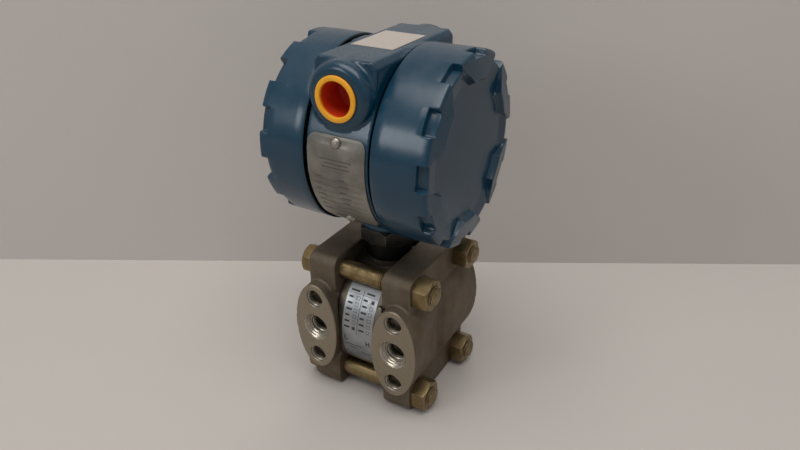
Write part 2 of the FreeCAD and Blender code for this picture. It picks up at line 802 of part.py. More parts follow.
def electronics_housing():
    """Two chambers back to back, with cover threads, conduit hubs and a neck boss."""
    wide = d.barrel_half_width
    boss_length = axis_z - d.boss_bottom - chamber_radius
    chamfer = d.boss_chamfer
    solids = [
        cylinder("barrel", barrel_radius, wide * 2, (-wide, centre_y, axis_z)),
        cylinder("cover_spigots", d.spigot_radius, d.spigot_end * 2,
                 (-d.spigot_end, centre_y, axis_z)),
        cone("neck_boss_lip", d.boss_radius - chamfer, d.boss_radius, chamfer,
             (0, centre_y, d.boss_bottom), "Z"),
        cylinder("neck_boss", d.boss_radius, boss_length, (0, centre_y, d.boss_bottom + chamfer),
                 "Z"),
        top_pad(),
    ]
    solids += conduit_hub("front_hub", hub_front, 1) + conduit_hub("rear_hub", hub_rear, -1)
    chamber_length = d.spigot_end - d.wall_half
    tools = [
        cylinder("chamber_high", chamber_radius, chamber_length,
                 (d.wall_half, centre_y, axis_z)),
        cylinder("chamber_low", chamber_radius, chamber_length,
                 (-d.spigot_end, centre_y, axis_z)),
        cylinder("neck_socket", d.neck_radius + d.neck_clearance, d.boss_bore_depth,
                 (0, centre_y, d.boss_bottom), "Z"),
        cylinder("wire_hole", d.wire_hole_radius, boss_length + d.wire_hole_radius,
                 (0, centre_y, d.boss_bottom), "Z"),
    ]
    tools += conduit_bores("front_conduit", hub_front, 1)
    tools += conduit_bores("rear_conduit", hub_rear, -1)
    clearance = d.adjuster_clearance
    for name, z in adjuster_places():
        top = adjuster_surface()
        tools.append(cylinder(name + "_shaft_bore", d.adjuster_shaft_radius + clearance,
                              d.adjuster_reach, (-d.adjuster_side, top, z), "Y"))
        tools.append(cylinder(name + "_head_bore", d.adjuster_head_radius + 0.4,
                              d.adjuster_recess * 2 + d.adjuster_head_height,
                              (-d.adjuster_side, top - d.adjuster_recess, z), "Y"))
    for name, angle in (("upper", d.upper_screw_angle), ("lower", d.lower_screw_angle)):
        hole = cylinder(name + "_drive_screw_hole", d.drive_screw_radius, d.drive_screw_length,
                        drive_screw_place(angle, barrel_radius))
        hole.Placement = FreeCAD.Placement(hole.Placement.Base, radial(angle))
        tools.append(hole)
    shell = cut("housing_shell", fuse("housing_casting", solids), tools)
    posts = []
    for word, y in (("front", centre_y - fixing_offset), ("rear", centre_y + fixing_offset)):
        posts.append(cylinder(f"block_post_{word}", d.post_radius, d.block_seat - d.wall_half,
                              (d.wall_half, y, axis_z)))
    blank = fuse("housing_with_posts", [shell] + posts)
    holes = []
    for word, y in (("front", centre_y - fixing_offset), ("rear", centre_y + fixing_offset)):
        holes.append(cylinder(f"post_hole_{word}", d.fixing_radius, d.block_seat - d.wall_half,
                              (d.wall_half, y, axis_z)))
    return cut("electronics_housing", blank, holes)


def cover(name, recess_start, lug_end, face, turn, rotation):
    """A threaded cover with a ring of gripping recesses round its shoulder."""
    edge = d.cover_edge
    thread = d.spigot_radius + d.cover_thread_clearance
    inner = face - d.cover_face_wall
    bore = d.spigot_radius - d.cover_bore_step
    corner = d.cover_corner
    thread_end = d.spigot_end + d.cover_end_gap
    face_radius = cover_radius - d.cover_shoulder
    points = [
        (cover_start, mouth_radius), (cover_start, cover_radius - edge),
        (cover_start + edge, cover_radius), (lug_end - edge, cover_radius),
        (lug_end, cover_radius - edge), (lug_end, face_radius + face - lug_end),
        (face, face_radius), (face, 0), (inner, 0),
        (inner, bore - corner), (inner - corner, bore),
        (thread_end, bore), (thread_end, thread),
        (cover_start + d.cover_mouth_depth, thread),
        (cover_start + d.cover_mouth_depth, mouth_radius),
    ]
    body = turned(name, points, (0, centre_y, axis_z), rotation)
    sketch = body.newObject("Sketcher::SketchObject", name + "_recess")
    sketch.AttachmentSupport = [(origin_plane(body, "YZ_Plane"), "")]
    sketch.MapMode = "FlatFace"
    sketch.setExpression(".AttachmentOffset.Base.z", recess_start.text)
    half = d.recess_angle / 2
    floor, rim = cover_radius - d.lug_depth, cover_radius + d.lug_depth
    corners = []
    for radius, angle in ((floor, turn - half), (rim, turn - half),
                          (rim, turn + half), (floor, turn + half)):
        corners.append((radius * cos(angle), radius * sin(angle)))
    ends = [V(float(u), float(v), 0) for u, v in corners]
    middle = [V(float(r * cos(turn)), float(r * sin(turn)), 0) for r in (floor, rim)]
    edges = [
        sketch.addGeometry(Part.LineSegment(ends[0], ends[1])),
        sketch.addGeometry(Part.LineSegment(ends[1], ends[2])),
        sketch.addGeometry(Part.LineSegment(ends[2], ends[3])),
        sketch.addGeometry(Part.Arc(ends[0], middle[0], ends[3])),
    ]
    sketch.addConstraint(Sketcher.Constraint("Coincident", edges[0], 2, edges[1], 1))
    sketch.addConstraint(Sketcher.Constraint("Coincident", edges[1], 2, edges[2], 1))
    sketch.addConstraint(Sketcher.Constraint("Coincident", edges[2], 2, edges[3], 2))
    sketch.addConstraint(Sketcher.Constraint("Coincident", edges[3], 1, edges[0], 1))
    sketch.addConstraint(Sketcher.Constraint("Coincident", edges[3], 3, -1, 1))
    for edge_index, corner in ((edges[0], corners[0]), (edges[1], corners[1]),
                               (edges[2], corners[2])):
        pin_point(sketch, edge_index, 1, corner)
    pocket = body.newObject("PartDesign::Pocket", name + "_recess_cut")
    pocket.Profile = sketch
    pocket.Reversed = True
    bind(pocket, Length=face - recess_start)
    pattern = body.newObject("PartDesign::PolarPattern", name + "_recess_ring")
    pattern.Originals = [pocket]
    pattern.Axis = (sketch, ["N_Axis"])
    pattern.Angle = 360
    bind(pattern, Occurrences=d.lug_count)
    body.Tip = pattern
    return body


def covers():
    facing = FreeCAD.Rotation(V(0, 0, 1), 180)
    return [
        cover("cover_high_side", d.high_recess_start, d.high_lug_end, d.high_face,
              d.high_recess_turn, FreeCAD.Rotation()),
        cover("cover_low_side", d.low_recess_start, d.low_lug_end, d.low_face,
              d.low_recess_turn, facing),
    ]


def cover_rings():
    """Ring seals at the root of each cover thread."""
    tube = d.ring_thickness / 2
    x = d.barrel_half_width + tube + d.ring_side_gap
    radius = d.spigot_radius + d.ring_clearance + tube
    return [torus("cover_ring_high", radius, tube, (x, centre_y, axis_z)),
            torus("cover_ring_low", radius, tube, (-x, centre_y, axis_z))]


def conduit_protector():
    """A plastic cap pushed into the front conduit entry."""
    radius = d.conduit_bore_radius - d.protector_clearance
    hollow = radius - d.protector_wall
    points = [(-d.protector_flange, hollow), (-d.protector_flange, d.protector_flange_radius),
              (0, d.protector_flange_radius), (0, radius), (d.protector_length, radius - 0.2),
              (d.protector_length, 0), (d.protector_length - d.protector_wall, 0),
              (d.protector_length - d.protector_wall, hollow)]
    return turned("conduit_protector", points, (0, hub_front, conduit_z),
                  FreeCAD.Rotation(V(0, 0, 1), 90))


def conduit_plug():
    """A hexagon socket plug in the rear conduit entry."""
    end = hub_rear - d.plug_set_back
    z = conduit_z
    blank = cylinder("plug_blank", d.conduit_bore_radius, d.plug_length,
                     (0, end - d.plug_length, z), "Y")
    socket = hexagon("plug_socket", d.plug_socket_flats, d.plug_socket_depth,
                     (0, end - d.plug_socket_depth, z), "Y", 30)
    return cut("conduit_plug", blank, [socket])


# ---------------------------------------------------------------- plates, labels, adjusters

def nameplate():
    """The curved data plate on the front of the barrel, with rounded corners."""
    wide = d.plate_half_width
    outside = cylinder("plate_outside", barrel_radius + d.plate_sheet, wide * 2,
                       (-wide, centre_y, axis_z))
    inside = cylinder("plate_inside", barrel_radius, wide * 2, (-wide, centre_y, axis_z))
    shell = cut("plate_shell", outside, [inside])
    bottom = axis_z - barrel_radius * sin(d.plate_bottom_angle)
    top = axis_z + barrel_radius * sin(d.plate_top_angle)
    points = [(-wide, bottom), (wide, bottom), (wide, top), (-wide, top)]
    window = padded("plate_window", "XZ_Plane", points, barrel_radius * 2, (0, 0, 0),
                    midplane=True)
    round_edges(window, "plate_corners", d.plate_corner,
                lambda edge, middle: abs(edge.tangentAt(edge.FirstParameter).y) > 0.99)
    sheet_form = common("plate_sheet_form", shell, window)
    holes = []
    for name, angle in (("upper", d.upper_screw_angle), ("lower", d.lower_screw_angle)):
        hole = cylinder(f"plate_{name}_hole", d.drive_screw_radius + d.drive_screw_hole_gap,
                        d.plate_sheet * 4, drive_screw_place(angle, barrel_radius + d.plate_sheet * 2))
        hole.Placement = FreeCAD.Placement(hole.Placement.Base, radial(angle))
        holes.append(hole)
    return cut("nameplate", sheet_form, holes)


def nameplate_screws():
    screws = []
    seat = barrel_radius + d.plate_sheet
    for name, angle in (("upper", d.upper_screw_angle), ("lower", d.lower_screw_angle)):
        head = d.drive_screw_head_height
        length = d.drive_screw_length + d.plate_sheet
        radius = d.drive_screw_head_radius
        points = [(0, 0), (0, radius * 0.55), (head * 0.45, radius * 0.9), (head, radius),
                  (head, d.drive_screw_radius), (head + length - 0.5, d.drive_screw_radius),
                  (head + length - 0.5, 0)]
        place_point = drive_screw_place(angle, seat + head)
        turn = FreeCAD.Rotation(V(1, 0, 0), -float(angle)).multiply(
            FreeCAD.Rotation(V(0, 0, 1), 90))
        screws.append(turned(f"nameplate_screw_{name}", points, place_point, turn))
    return group("nameplate_screws", screws)


def top_label():
    wide = d.top_label_half_width
    start = centre_y - d.top_label_forward
    return box("top_label", (-wide, start, top_z),
               (wide, start + d.top_label_length, top_z + d.top_label_thickness))


def adjusters():
    """The zero and span screws behind the nameplate, each with a driver slot."""
    items = []
    top = adjuster_surface() + d.adjuster_recess
    for name, z in adjuster_places():
        head = cylinder(name + "_head", d.adjuster_head_radius, d.adjuster_head_height,
                        (-d.adjuster_side, top, z), "Y")
        shaft = cylinder(name + "_shaft", d.adjuster_shaft_radius,
                         d.adjuster_reach - d.adjuster_recess, (-d.adjuster_side, top, z), "Y")
        radius = d.adjuster_head_radius
        slot = box(name + "_slot",
                   (-d.adjuster_side - radius, top, z - d.slot_width / 2),
                   (-d.adjuster_side + radius, top + d.slot_depth, z + d.slot_width / 2))
        blank = fuse(name + "_blank", [head, shaft])
        items.append(cut(name + "_screw", blank, [slot]))
    return items


# ---------------------------------------------------------------- electronics

def terminal_block():
    """The moulded block in the high side chamber, with ridges between its terminals."""
    face = d.block_seat + d.block_thickness
    disc = cylinder("block_disc", block_radius, d.block_thickness,
                    (d.block_seat, centre_y, axis_z))
    ridges = []
    for number in range(4):
        y = centre_y + d.terminal_pitch * (number - 1.5)
        half, reach = d.block_ridge_half, d.block_ridge_reach
        ridges.append(box(f"block_ridge_{number + 1}", (face, y - half, axis_z - reach),
                          (face + d.block_ridge_height, y + half, axis_z + reach)))
    blank = fuse("block_blank", [disc] + ridges)
    holes = []
    for word, y in (("front", centre_y - fixing_offset), ("rear", centre_y + fixing_offset)):
        holes.append(cylinder(f"block_hole_{word}", d.fixing_radius + 0.2, d.block_thickness,
                              (d.block_seat, y, axis_z)))
    return cut("terminal_block", blank, holes)


def terminal_screws():
    """Three wire terminals on the block."""
    face = d.block_seat + d.block_thickness
    screws = []
    for number in range(3):
        y = centre_y + d.terminal_pitch * (number - 1)
        screws.append(cylinder(f"terminal_{number + 1}", d.terminal_radius, d.terminal_height,
                               (face, y, axis_z)))
    return group("terminal_screws", screws)


def terminal_block_screws():
    face = d.block_seat + d.block_thickness
    screws = []
    for word, y in (("front", centre_y - fixing_offset), ("rear", centre_y + fixing_offset)):
        head = cylinder(f"block_screw_head_{word}", d.fixing_head_radius, d.fixing_head_height,
                        (face, y, axis_z))
        start = d.wall_half + 1
        shank = cylinder(f"block_screw_shank_{word}", d.fixing_radius, face - start,
                         (start, y, axis_z))
        screws.append(fuse(f"block_screw_{word}", [head, shank]))
    return group("terminal_block_screws", screws)


def board_fixings():
    """Angles of the three board fixings round the low side chamber."""
    return [60, 180, 300]


def fixing_point(angle):
    circle = board_radius - d.standoff_edge
    return (centre_y + circle * cos(angle), axis_z + circle * sin(angle))


def board(name, seat):
    blank = cylinder(name + "_disc", board_radius, d.board_thickness,
                     (-seat - d.board_thickness, centre_y, axis_z))
    holes = []
    for number, angle in enumerate(board_fixings(), start=1):
        y, z = fixing_point(angle)
        holes.append(cylinder(f"{name}_hole_{number}", d.board_screw_radius + 0.2,
                              d.board_thickness, (-seat - d.board_thickness, y, z)))
    return cut(name, blank, holes)


def boards():
    second_seat = d.board_seat + d.board_thickness + d.board_spacing
    return [board("amplifier_board", d.board_seat), board("calibration_board", second_seat)]


def board_standoffs():
    """Six spacers: three from the wall to the first board, three between the boards."""
    first = d.board_seat
    second = first + d.board_thickness
    items = []
    for number, angle in enumerate(board_fixings(), start=1):
        y, z = fixing_point(angle)
        for word, start, end in (("wall", d.wall_half, first),
                                 ("board", second, second + d.board_spacing)):
            name = f"standoff_{word}_{number}"
            blank = cylinder(name + "_blank", d.standoff_radius, end - start, (-end, y, z))
            bore = cylinder(name + "_bore", d.board_screw_radius, end - start, (-end, y, z))
            items.append(cut(name, blank, [bore]))
    return group("board_standoffs", items)


def board_screws():
    outer = d.board_seat + d.board_thickness * 2 + d.board_spacing
    length = outer - d.wall_half - 1
    items = []
    for number, angle in enumerate(board_fixings(), start=1):
        y, z = fixing_point(angle)
        head = cylinder(f"board_screw_head_{number}", d.board_screw_head_radius, 2,
                        (-outer - 2, y, z))
        shank = cylinder(f"board_screw_shank_{number}", d.board_screw_radius, length,
                         (-outer, y, z))
        items.append(fuse(f"board_screw_{number}", [head, shank]))
    return group("board_screws", items)


def trim_pots():
    """The two adjustable resistors that the zero and span screws turn."""
    half = d.pot_size / 2
    start = adjuster_surface() + d.adjuster_reach
    items = []
    for name, z in adjuster_places():
        items.append(box(name + "_pot", (-d.board_seat, start, z - half),
                         (-d.board_seat + d.pot_size, start + d.pot_size, z + half)))
    return group("trim_pots", items)


def board_components():
    """Blocks that stand for the parts soldered to the outer board."""
    seat = d.board_seat + d.board_thickness * 2 + d.board_spacing
    half_gap = d.component_gap / 2
    far_y, far_z = half_gap + d.component_length, half_gap + d.component_width
    items = []
    for number, (y0, y1, z0, z1) in enumerate((
            (-far_y, -half_gap, half_gap, far_z), (half_gap, far_y, half_gap, far_z),
            (-far_y, -half_gap, -far_z, -half_gap), (half_gap, far_y, -far_z, -half_gap)), start=1):
        items.append(box(f"component_{number}",
                         (-seat - d.component_height, centre_y + y0, axis_z + z0),
                         (-seat, centre_y + y1, axis_z + z1)))
    return group("board_components", items)


# ---------------------------------------------------------------- assembly and export

def build():
    nodes = process_flanges()
    nodes += [flange_bolts(), flange_nuts()]
    nodes += vent_valves()
    nodes += [sensor_cell(), cell_label(), cell_fill_plug(), header(), neck_lock_nut()]
    nodes += diaphragms() + process_seals()
    nodes.append(electronics_housing())
    nodes += covers() + cover_rings()
    nodes += [conduit_protector(), conduit_plug()]
    nodes += [nameplate(), nameplate_screws(), top_label()] + adjusters()
    nodes += [terminal_block(), terminal_screws(), terminal_block_screws()]
    nodes += boards() + [board_standoffs(), board_screws(), trim_pots(), board_components()]
    return nodes


def check(nodes):
    for item in doc.Objects:
        if "Invalid" in item.State or "Error" in item.State:
            raise RuntimeError(f"{item.Label} is {item.State}")
    labels = [item.Label for item in nodes]
    if len(set(labels)) != len(labels):
        raise RuntimeError("two sub-parts share a label")
    for item in nodes:
        if item.Shape.isNull() or not item.Shape.isValid() or item.Shape.Volume <= 0:
            raise RuntimeError(f"{item.Label} has no valid shape")


def export(nodes):
    os.makedirs("parts", exist_ok=True)
    for item in nodes:
        item.Shape.exportStep(f"parts/{item.Label}.step")


def main():
    nodes = build()
    doc.recompute()
    check(nodes)
    export(nodes)
    for item in nodes:
        bounds = item.Shape.BoundBox
        print(f"{item.Label:26s} solids {len(item.Shape.Solids)}"
              f"  volume {item.Shape.Volume:10.0f}"
              f"  x {bounds.XMin:7.1f} {bounds.XMax:7.1f}"
              f"  y {bounds.YMin:7.1f} {bounds.YMax:7.1f}"
              f"  z {bounds.ZMin:7.1f} {bounds.ZMax:7.1f}")


main()
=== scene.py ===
"""Differential pressure transmitter: finished pieces, materials, stage, lights and camera."""
import math
from contextlib import contextmanager

import bmesh
import bpy
from mathutils import Matrix, Vector


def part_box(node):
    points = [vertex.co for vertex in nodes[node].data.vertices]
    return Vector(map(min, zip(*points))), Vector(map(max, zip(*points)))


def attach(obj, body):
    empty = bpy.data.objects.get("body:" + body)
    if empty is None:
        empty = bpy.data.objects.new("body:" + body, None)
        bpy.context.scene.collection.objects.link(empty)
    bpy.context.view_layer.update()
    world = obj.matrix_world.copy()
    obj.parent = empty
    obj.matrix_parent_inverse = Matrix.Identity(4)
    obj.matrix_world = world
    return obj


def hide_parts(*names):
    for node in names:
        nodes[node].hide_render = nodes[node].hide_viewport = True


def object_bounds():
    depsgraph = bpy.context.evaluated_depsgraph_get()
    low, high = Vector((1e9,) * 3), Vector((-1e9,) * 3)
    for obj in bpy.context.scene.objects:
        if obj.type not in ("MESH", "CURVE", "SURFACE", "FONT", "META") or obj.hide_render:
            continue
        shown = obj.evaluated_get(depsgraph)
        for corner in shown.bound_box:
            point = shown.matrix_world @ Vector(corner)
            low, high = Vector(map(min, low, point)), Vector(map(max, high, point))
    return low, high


MM = 0.001

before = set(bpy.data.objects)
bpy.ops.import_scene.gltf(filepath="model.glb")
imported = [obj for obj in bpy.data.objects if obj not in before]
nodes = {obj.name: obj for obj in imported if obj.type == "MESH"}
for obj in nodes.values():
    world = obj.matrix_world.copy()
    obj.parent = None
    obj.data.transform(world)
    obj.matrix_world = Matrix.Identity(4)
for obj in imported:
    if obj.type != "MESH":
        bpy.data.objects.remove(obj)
cad_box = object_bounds()

# Axes and faces that several pieces share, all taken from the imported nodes
cover_low, cover_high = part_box("cover_high_side")
cell_low, cell_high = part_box("sensor_cell")
HOUSING_Y = (cover_low.y + cover_high.y) / 2
HOUSING_Z = (cover_low.z + cover_high.z) / 2
CELL_Y = (cell_low.y + cell_high.y) / 2
CELL_RADIUS = -cell_low.z
PLATE_THICKNESS = 0.8 * MM
BARREL_RADIUS = HOUSING_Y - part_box("nameplate")[0].y - PLATE_THICKNESS
# Places of the ports, of the tapped holes beside them, and of the flange bolts
PORT_X, TAPPED_Z = 27.0 * MM, 20.65 * MM
BOLT_YS, BOLT_Z = (17.3 * MM, 69.4 * MM), 36.65 * MM
# The gap between housing and cover that shows the ring
GAP_START, GAP_END = 18.5 * MM, cover_low.x
FLOOR_Z = cad_box[0][2]


# ------------------------------------------------------------------ node tree helpers

class Tree:
    """Short calls for building a material or group tree."""

    def __init__(self, tree):
        self.tree = tree

    def node(self, kind, **settings):
        node = self.tree.nodes.new(kind)
        for name, value in settings.items():
            setattr(node, name, value)
        return node

    def link(self, source, target):
        self.tree.links.new(source, target)

    def feed(self, socket, value):
        if isinstance(value, bpy.types.NodeSocket):
            self.link(value, socket)
        elif value is not None:
            socket.default_value = value

    def math(self, operation, first, second=None):
        node = self.node("ShaderNodeMath", operation=operation)
        self.feed(node.inputs[0], first)
        self.feed(node.inputs[1], second)
        return node.outputs[0]

    def span(self, value, low, high, to_low=0.0, to_high=1.0):
        node = self.node("ShaderNodeMapRange", interpolation_type="SMOOTHSTEP")
        for index, item in enumerate((value, low, high, to_low, to_high)):
            self.feed(node.inputs[index], item)
        return node.outputs[0]

    def mix(self, factor, first, second):
        node = self.node("ShaderNodeMix", data_type="RGBA", blend_type="MIX")
        self.feed(node.inputs[0], factor)
        self.feed(node.inputs[6], first)
        self.feed(node.inputs[7], second)
        return node.outputs[2]

    def noise(self, vector, scale, detail=3.0, roughness=0.55):
        node = self.node("ShaderNodeTexNoise")
        self.feed(node.inputs["Vector"], vector)
        self.feed(node.inputs["Scale"], scale)
        self.feed(node.inputs["Detail"], detail)
        self.feed(node.inputs["Roughness"], roughness)
        return node.outputs["Fac"]

    def place(self):
        """The shaded point, in the object's own frame."""
        return self.node("ShaderNodeTexCoord").outputs["Object"]

    def split(self, vector):
        """The X, Y and Z of a vector."""
        node = self.node("ShaderNodeSeparateXYZ")
        self.link(vector, node.inputs[0])
        return node.outputs

    def stretched(self, vector, scale, turn=(0.0, 0.0, 0.0)):
        node = self.node("ShaderNodeMapping")
        self.link(vector, node.inputs["Vector"])
        node.inputs["Rotation"].default_value = turn
        node.inputs["Scale"].default_value = scale
        return node.outputs[0]

    def use(self, group, **inputs):
        node = self.node("ShaderNodeGroup")
        node.node_tree = group
        for name, value in inputs.items():
            self.feed(node.inputs[name.replace("_", " ").capitalize()], value)
        return node.outputs


def group_tree(name, inputs, outputs):
    """An empty node group with named float inputs and outputs."""
    group = bpy.data.node_groups.new(name, "ShaderNodeTree")
    for label, kind, default in inputs:
        socket = group.interface.new_socket(label, in_out="INPUT", socket_type=kind)
        if default is not None:
            socket.default_value = default
    for label, kind in outputs:
        group.interface.new_socket(label, in_out="OUTPUT", socket_type=kind)
    tree = Tree(group)
    return group, tree, tree.node("NodeGroupInput"), tree.node("NodeGroupOutput")


def linear(red, green, blue):
    """A colour written in screen values from 0 to 255, as the shader needs it."""
    channels = []
    for value in (red, green, blue):
        value /= 255
        channels.append(value / 12.92 if value <= 0.04045 else ((value + 0.055) / 1.055) ** 2.4)
    return (*channels, 1.0)


# ------------------------------------------------------------------ shared effects

def edge_wear_group():
    """Mask along worn edges, broken up by noise."""
    group, tree, start, end = group_tree(
        "edge_wear",
        [("Width", "NodeSocketFloat", 0.0006), ("Amount", "NodeSocketFloat", 0.5),
         ("Patch scale", "NodeSocketFloat", 120.0)],
        [("Mask", "NodeSocketFloat")])
    bevel = tree.node("ShaderNodeBevel", samples=4)
    tree.link(start.outputs["Width"], bevel.inputs["Radius"])
    geometry = tree.node("ShaderNodeNewGeometry")
    dot = tree.node("ShaderNodeVectorMath", operation="DOT_PRODUCT")
    tree.link(bevel.outputs[0], dot.inputs[0])
    tree.link(geometry.outputs["Normal"], dot.inputs[1])
    bend = tree.span(dot.outputs["Value"], 0.995, 0.90)
    place = tree.place()
    patches = tree.noise(place, start.outputs["Patch scale"], 4.0, 0.6)
    kept = tree.math("SUBTRACT", 1.0, start.outputs["Amount"])
    high = tree.math("ADD", kept, 0.12)
    broken = tree.span(patches, kept, high)
    tree.link(tree.math("MULTIPLY", bend, broken), end.inputs["Mask"])
    return group


def cast_grain_group():
    """Fine pitting and slow waviness of a sand casting, as a height and a tone."""
    group, tree, start, end = group_tree(
        "cast_grain",
        [("Pit scale", "NodeSocketFloat", 900.0), ("Wave scale", "NodeSocketFloat", 90.0),
         ("Pits", "NodeSocketFloat", 0.6)],
        [("Height", "NodeSocketFloat"), ("Tone", "NodeSocketFloat")])
    place = tree.place()
    pits = tree.noise(place, start.outputs["Pit scale"], 4.0, 0.65)
    waves = tree.noise(place, start.outputs["Wave scale"], 2.0, 0.5)
    part = tree.math("MULTIPLY", pits, start.outputs["Pits"])
    tree.link(tree.math("ADD", part, waves), end.inputs["Height"])
    tree.link(tree.math("MULTIPLY", tree.math("ADD", pits, waves), 0.5), end.inputs["Tone"])
    return group


def dust_group():
    """Dust that lies on faces that look up, in uneven patches."""
    group, tree, start, end = group_tree(
        "settled_dust",
        [("Amount", "NodeSocketFloat", 0.5), ("Patch scale", "NodeSocketFloat", 40.0)],
        [("Mask", "NodeSocketFloat")])
    geometry = tree.node("ShaderNodeNewGeometry")
    facing = tree.span(tree.split(geometry.outputs["Normal"])["Z"], -0.1, 0.95)
    place = tree.place()
    patches = tree.span(tree.noise(place, start.outputs["Patch scale"], 5.0, 0.6), 0.3, 0.75)
    mask = tree.math("MULTIPLY", tree.math("MULTIPLY", facing, patches), start.outputs["Amount"])
    tree.link(mask, end.inputs["Mask"])
    return group


def scuffs_group():
    """Short scratches and small chips."""
    group, tree, start, end = group_tree(
        "scuffs",
        [("Scale", "NodeSocketFloat", 60.0), ("Amount", "NodeSocketFloat", 0.5)],
        [("Scratches", "NodeSocketFloat"), ("Chips", "NodeSocketFloat")])
    place = tree.place()
    drawn_out = tree.stretched(place, (1.0, 9.0, 9.0), (0.5, 0.3, 0.7))
    streaks = tree.noise(drawn_out, start.outputs["Scale"], 3.0, 0.7)
    level = tree.math("SUBTRACT", 0.80, tree.math("MULTIPLY", start.outputs["Amount"], 0.12))
    tree.link(tree.span(streaks, level, tree.math("ADD", level, 0.03)), end.inputs["Scratches"])
    spots = tree.noise(place, tree.math("MULTIPLY", start.outputs["Scale"], 3.0), 5.0, 0.7)
    edge = tree.math("SUBTRACT", 0.86, tree.math("MULTIPLY", start.outputs["Amount"], 0.12))
    tree.link(tree.span(spots, edge, tree.math("ADD", edge, 0.02)), end.inputs["Chips"])
    return group


EDGE_WEAR = edge_wear_group()
CAST_GRAIN = cast_grain_group()
DUST = dust_group()
SCUFFS = scuffs_group()


def start_material(name, metallic=0.0, roughness=0.5, specular=0.5):
    """A new material with its tree and its shader, still without a colour."""
    material = bpy.data.materials.new(name)
    material.use_nodes = True
    material.node_tree.nodes.clear()
    tree = Tree(material.node_tree)
    shader = tree.node("ShaderNodeBsdfPrincipled")
    output = tree.node("ShaderNodeOutputMaterial")
    tree.link(shader.outputs[0], output.inputs[0])
    shader.inputs["Metallic"].default_value = metallic
    shader.inputs["Roughness"].default_value = roughness
    shader.inputs["Specular IOR Level"].default_value = specular
    shader.inputs["Coat Weight"].default_value = 0.0
    return material, tree, shader


def add_bump(tree, shader, height, distance, strength=1.0):
    bump = tree.node("ShaderNodeBump")
    bump.inputs["Strength"].default_value = strength
    bump.inputs["Distance"].default_value = distance
    tree.link(height, bump.inputs["Height"])
    tree.link(bump.outputs[0], shader.inputs["Normal"])


# ------------------------------------------------------------------ materials

def painted_casting(name, dust=0.5):
    """Blue enamel over an aluminium casting, scuffed and dusty, with painted shade in the gap by
    the ring.
    """
    material, tree, shader = start_material(name, roughness=0.36, specular=0.5)
    grain = tree.use(CAST_GRAIN, pit_scale=700.0, wave_scale=70.0, pits=0.25)
    wear = tree.use(EDGE_WEAR, width=0.0007, amount=0.42, patch_scale=160.0)["Mask"]
    dusty = tree.use(DUST, amount=dust, patch_scale=34.0)["Mask"]
    marks = tree.use(SCUFFS, scale=42.0, amount=0.45)
    tone = tree.mix(grain["Tone"], linear(4, 42, 61), linear(9, 60, 83))
    worn = tree.mix(tree.math("MULTIPLY", wear, 0.5), tone, linear(84, 112, 126))
    rubbed = tree.mix(tree.math("MULTIPLY", marks["Scratches"], 0.3), worn, linear(96, 116, 126))
    powder = tree.mix(dusty, rubbed, linear(112, 118, 120))
    chipped = tree.mix(marks["Chips"], powder, linear(120, 122, 120))
    # Painted shade: the faces in the gap where the ring shows are painted near black
    along = tree.math("ABSOLUTE", tree.split(tree.place())["X"])
    past_housing = tree.span(along, GAP_START - 0.1 * MM, GAP_START + 0.02 * MM)
    before_cover = tree.span(along, GAP_END + 0.25 * MM, GAP_END + 0.05 * MM)
    gap_shade = tree.math("MULTIPLY", past_housing, before_cover)
    tree.link(tree.mix(gap_shade, chipped, linear(9, 10, 11)), shader.inputs["Base Color"])
    rough = tree.span(tree.math("ADD", dusty, tree.math("MULTIPLY", grain["Tone"], 0.35)),
                      0.0, 1.0, 0.18, 0.60)
    tree.link(rough, shader.inputs["Roughness"])
    add_bump(tree, shader, grain["Height"], 0.00018, 0.55)
    return material


def machined_masks(tree, axes):
    """Where a flange is machined, where that is inside a hole, and how deep in, which the colour
    uses for painted shade deeper in the holes.
    """
    front = tree.span(axes["Y"], 0.9 * MM, 0.4 * MM)
    rear = tree.span(axes["Y"], 84.2 * MM, 84.7 * MM)
    off_port = tree.math("SUBTRACT", tree.math("ABSOLUTE", axes["X"]), PORT_X)
    height = tree.math("ABSOLUTE", axes["Z"])
    off_hole = tree.math("SUBTRACT", height, TAPPED_Z)
    port_reach, hole_reach, blur = 9.1 * MM, 5.8 * MM, 0.15 * MM
    cut = []
    for rise, reach in ((height, port_reach), (off_hole, hole_reach)):
        square = tree.math("ADD", tree.math("MULTIPLY", off_port, off_port),
                           tree.math("MULTIPLY", rise, rise))
        cut.append(tree.span(square, (reach + blur) ** 2, (reach - blur) ** 2))
    begun = tree.span(axes["Y"], 0.1 * MM, 0.5 * MM)
    from_middle = tree.math("ABSOLUTE", tree.math("SUBTRACT", axes["Y"], CELL_Y))
    near_ends = tree.span(from_middle, 18.0 * MM, 20.0 * MM)
    bored = tree.math("MULTIPLY", tree.math("MAXIMUM", *cut),
                      tree.math("MULTIPLY", begun, near_ends))
    # How deep into a hole, for the painted shade that darkens the holes deeper in
    deep = tree.span(axes["Y"], 3.0 * MM, 13.0 * MM)
    machined = tree.math("MAXIMUM", tree.math("MAXIMUM", front, rear), bored)
    return machined, bored, deep


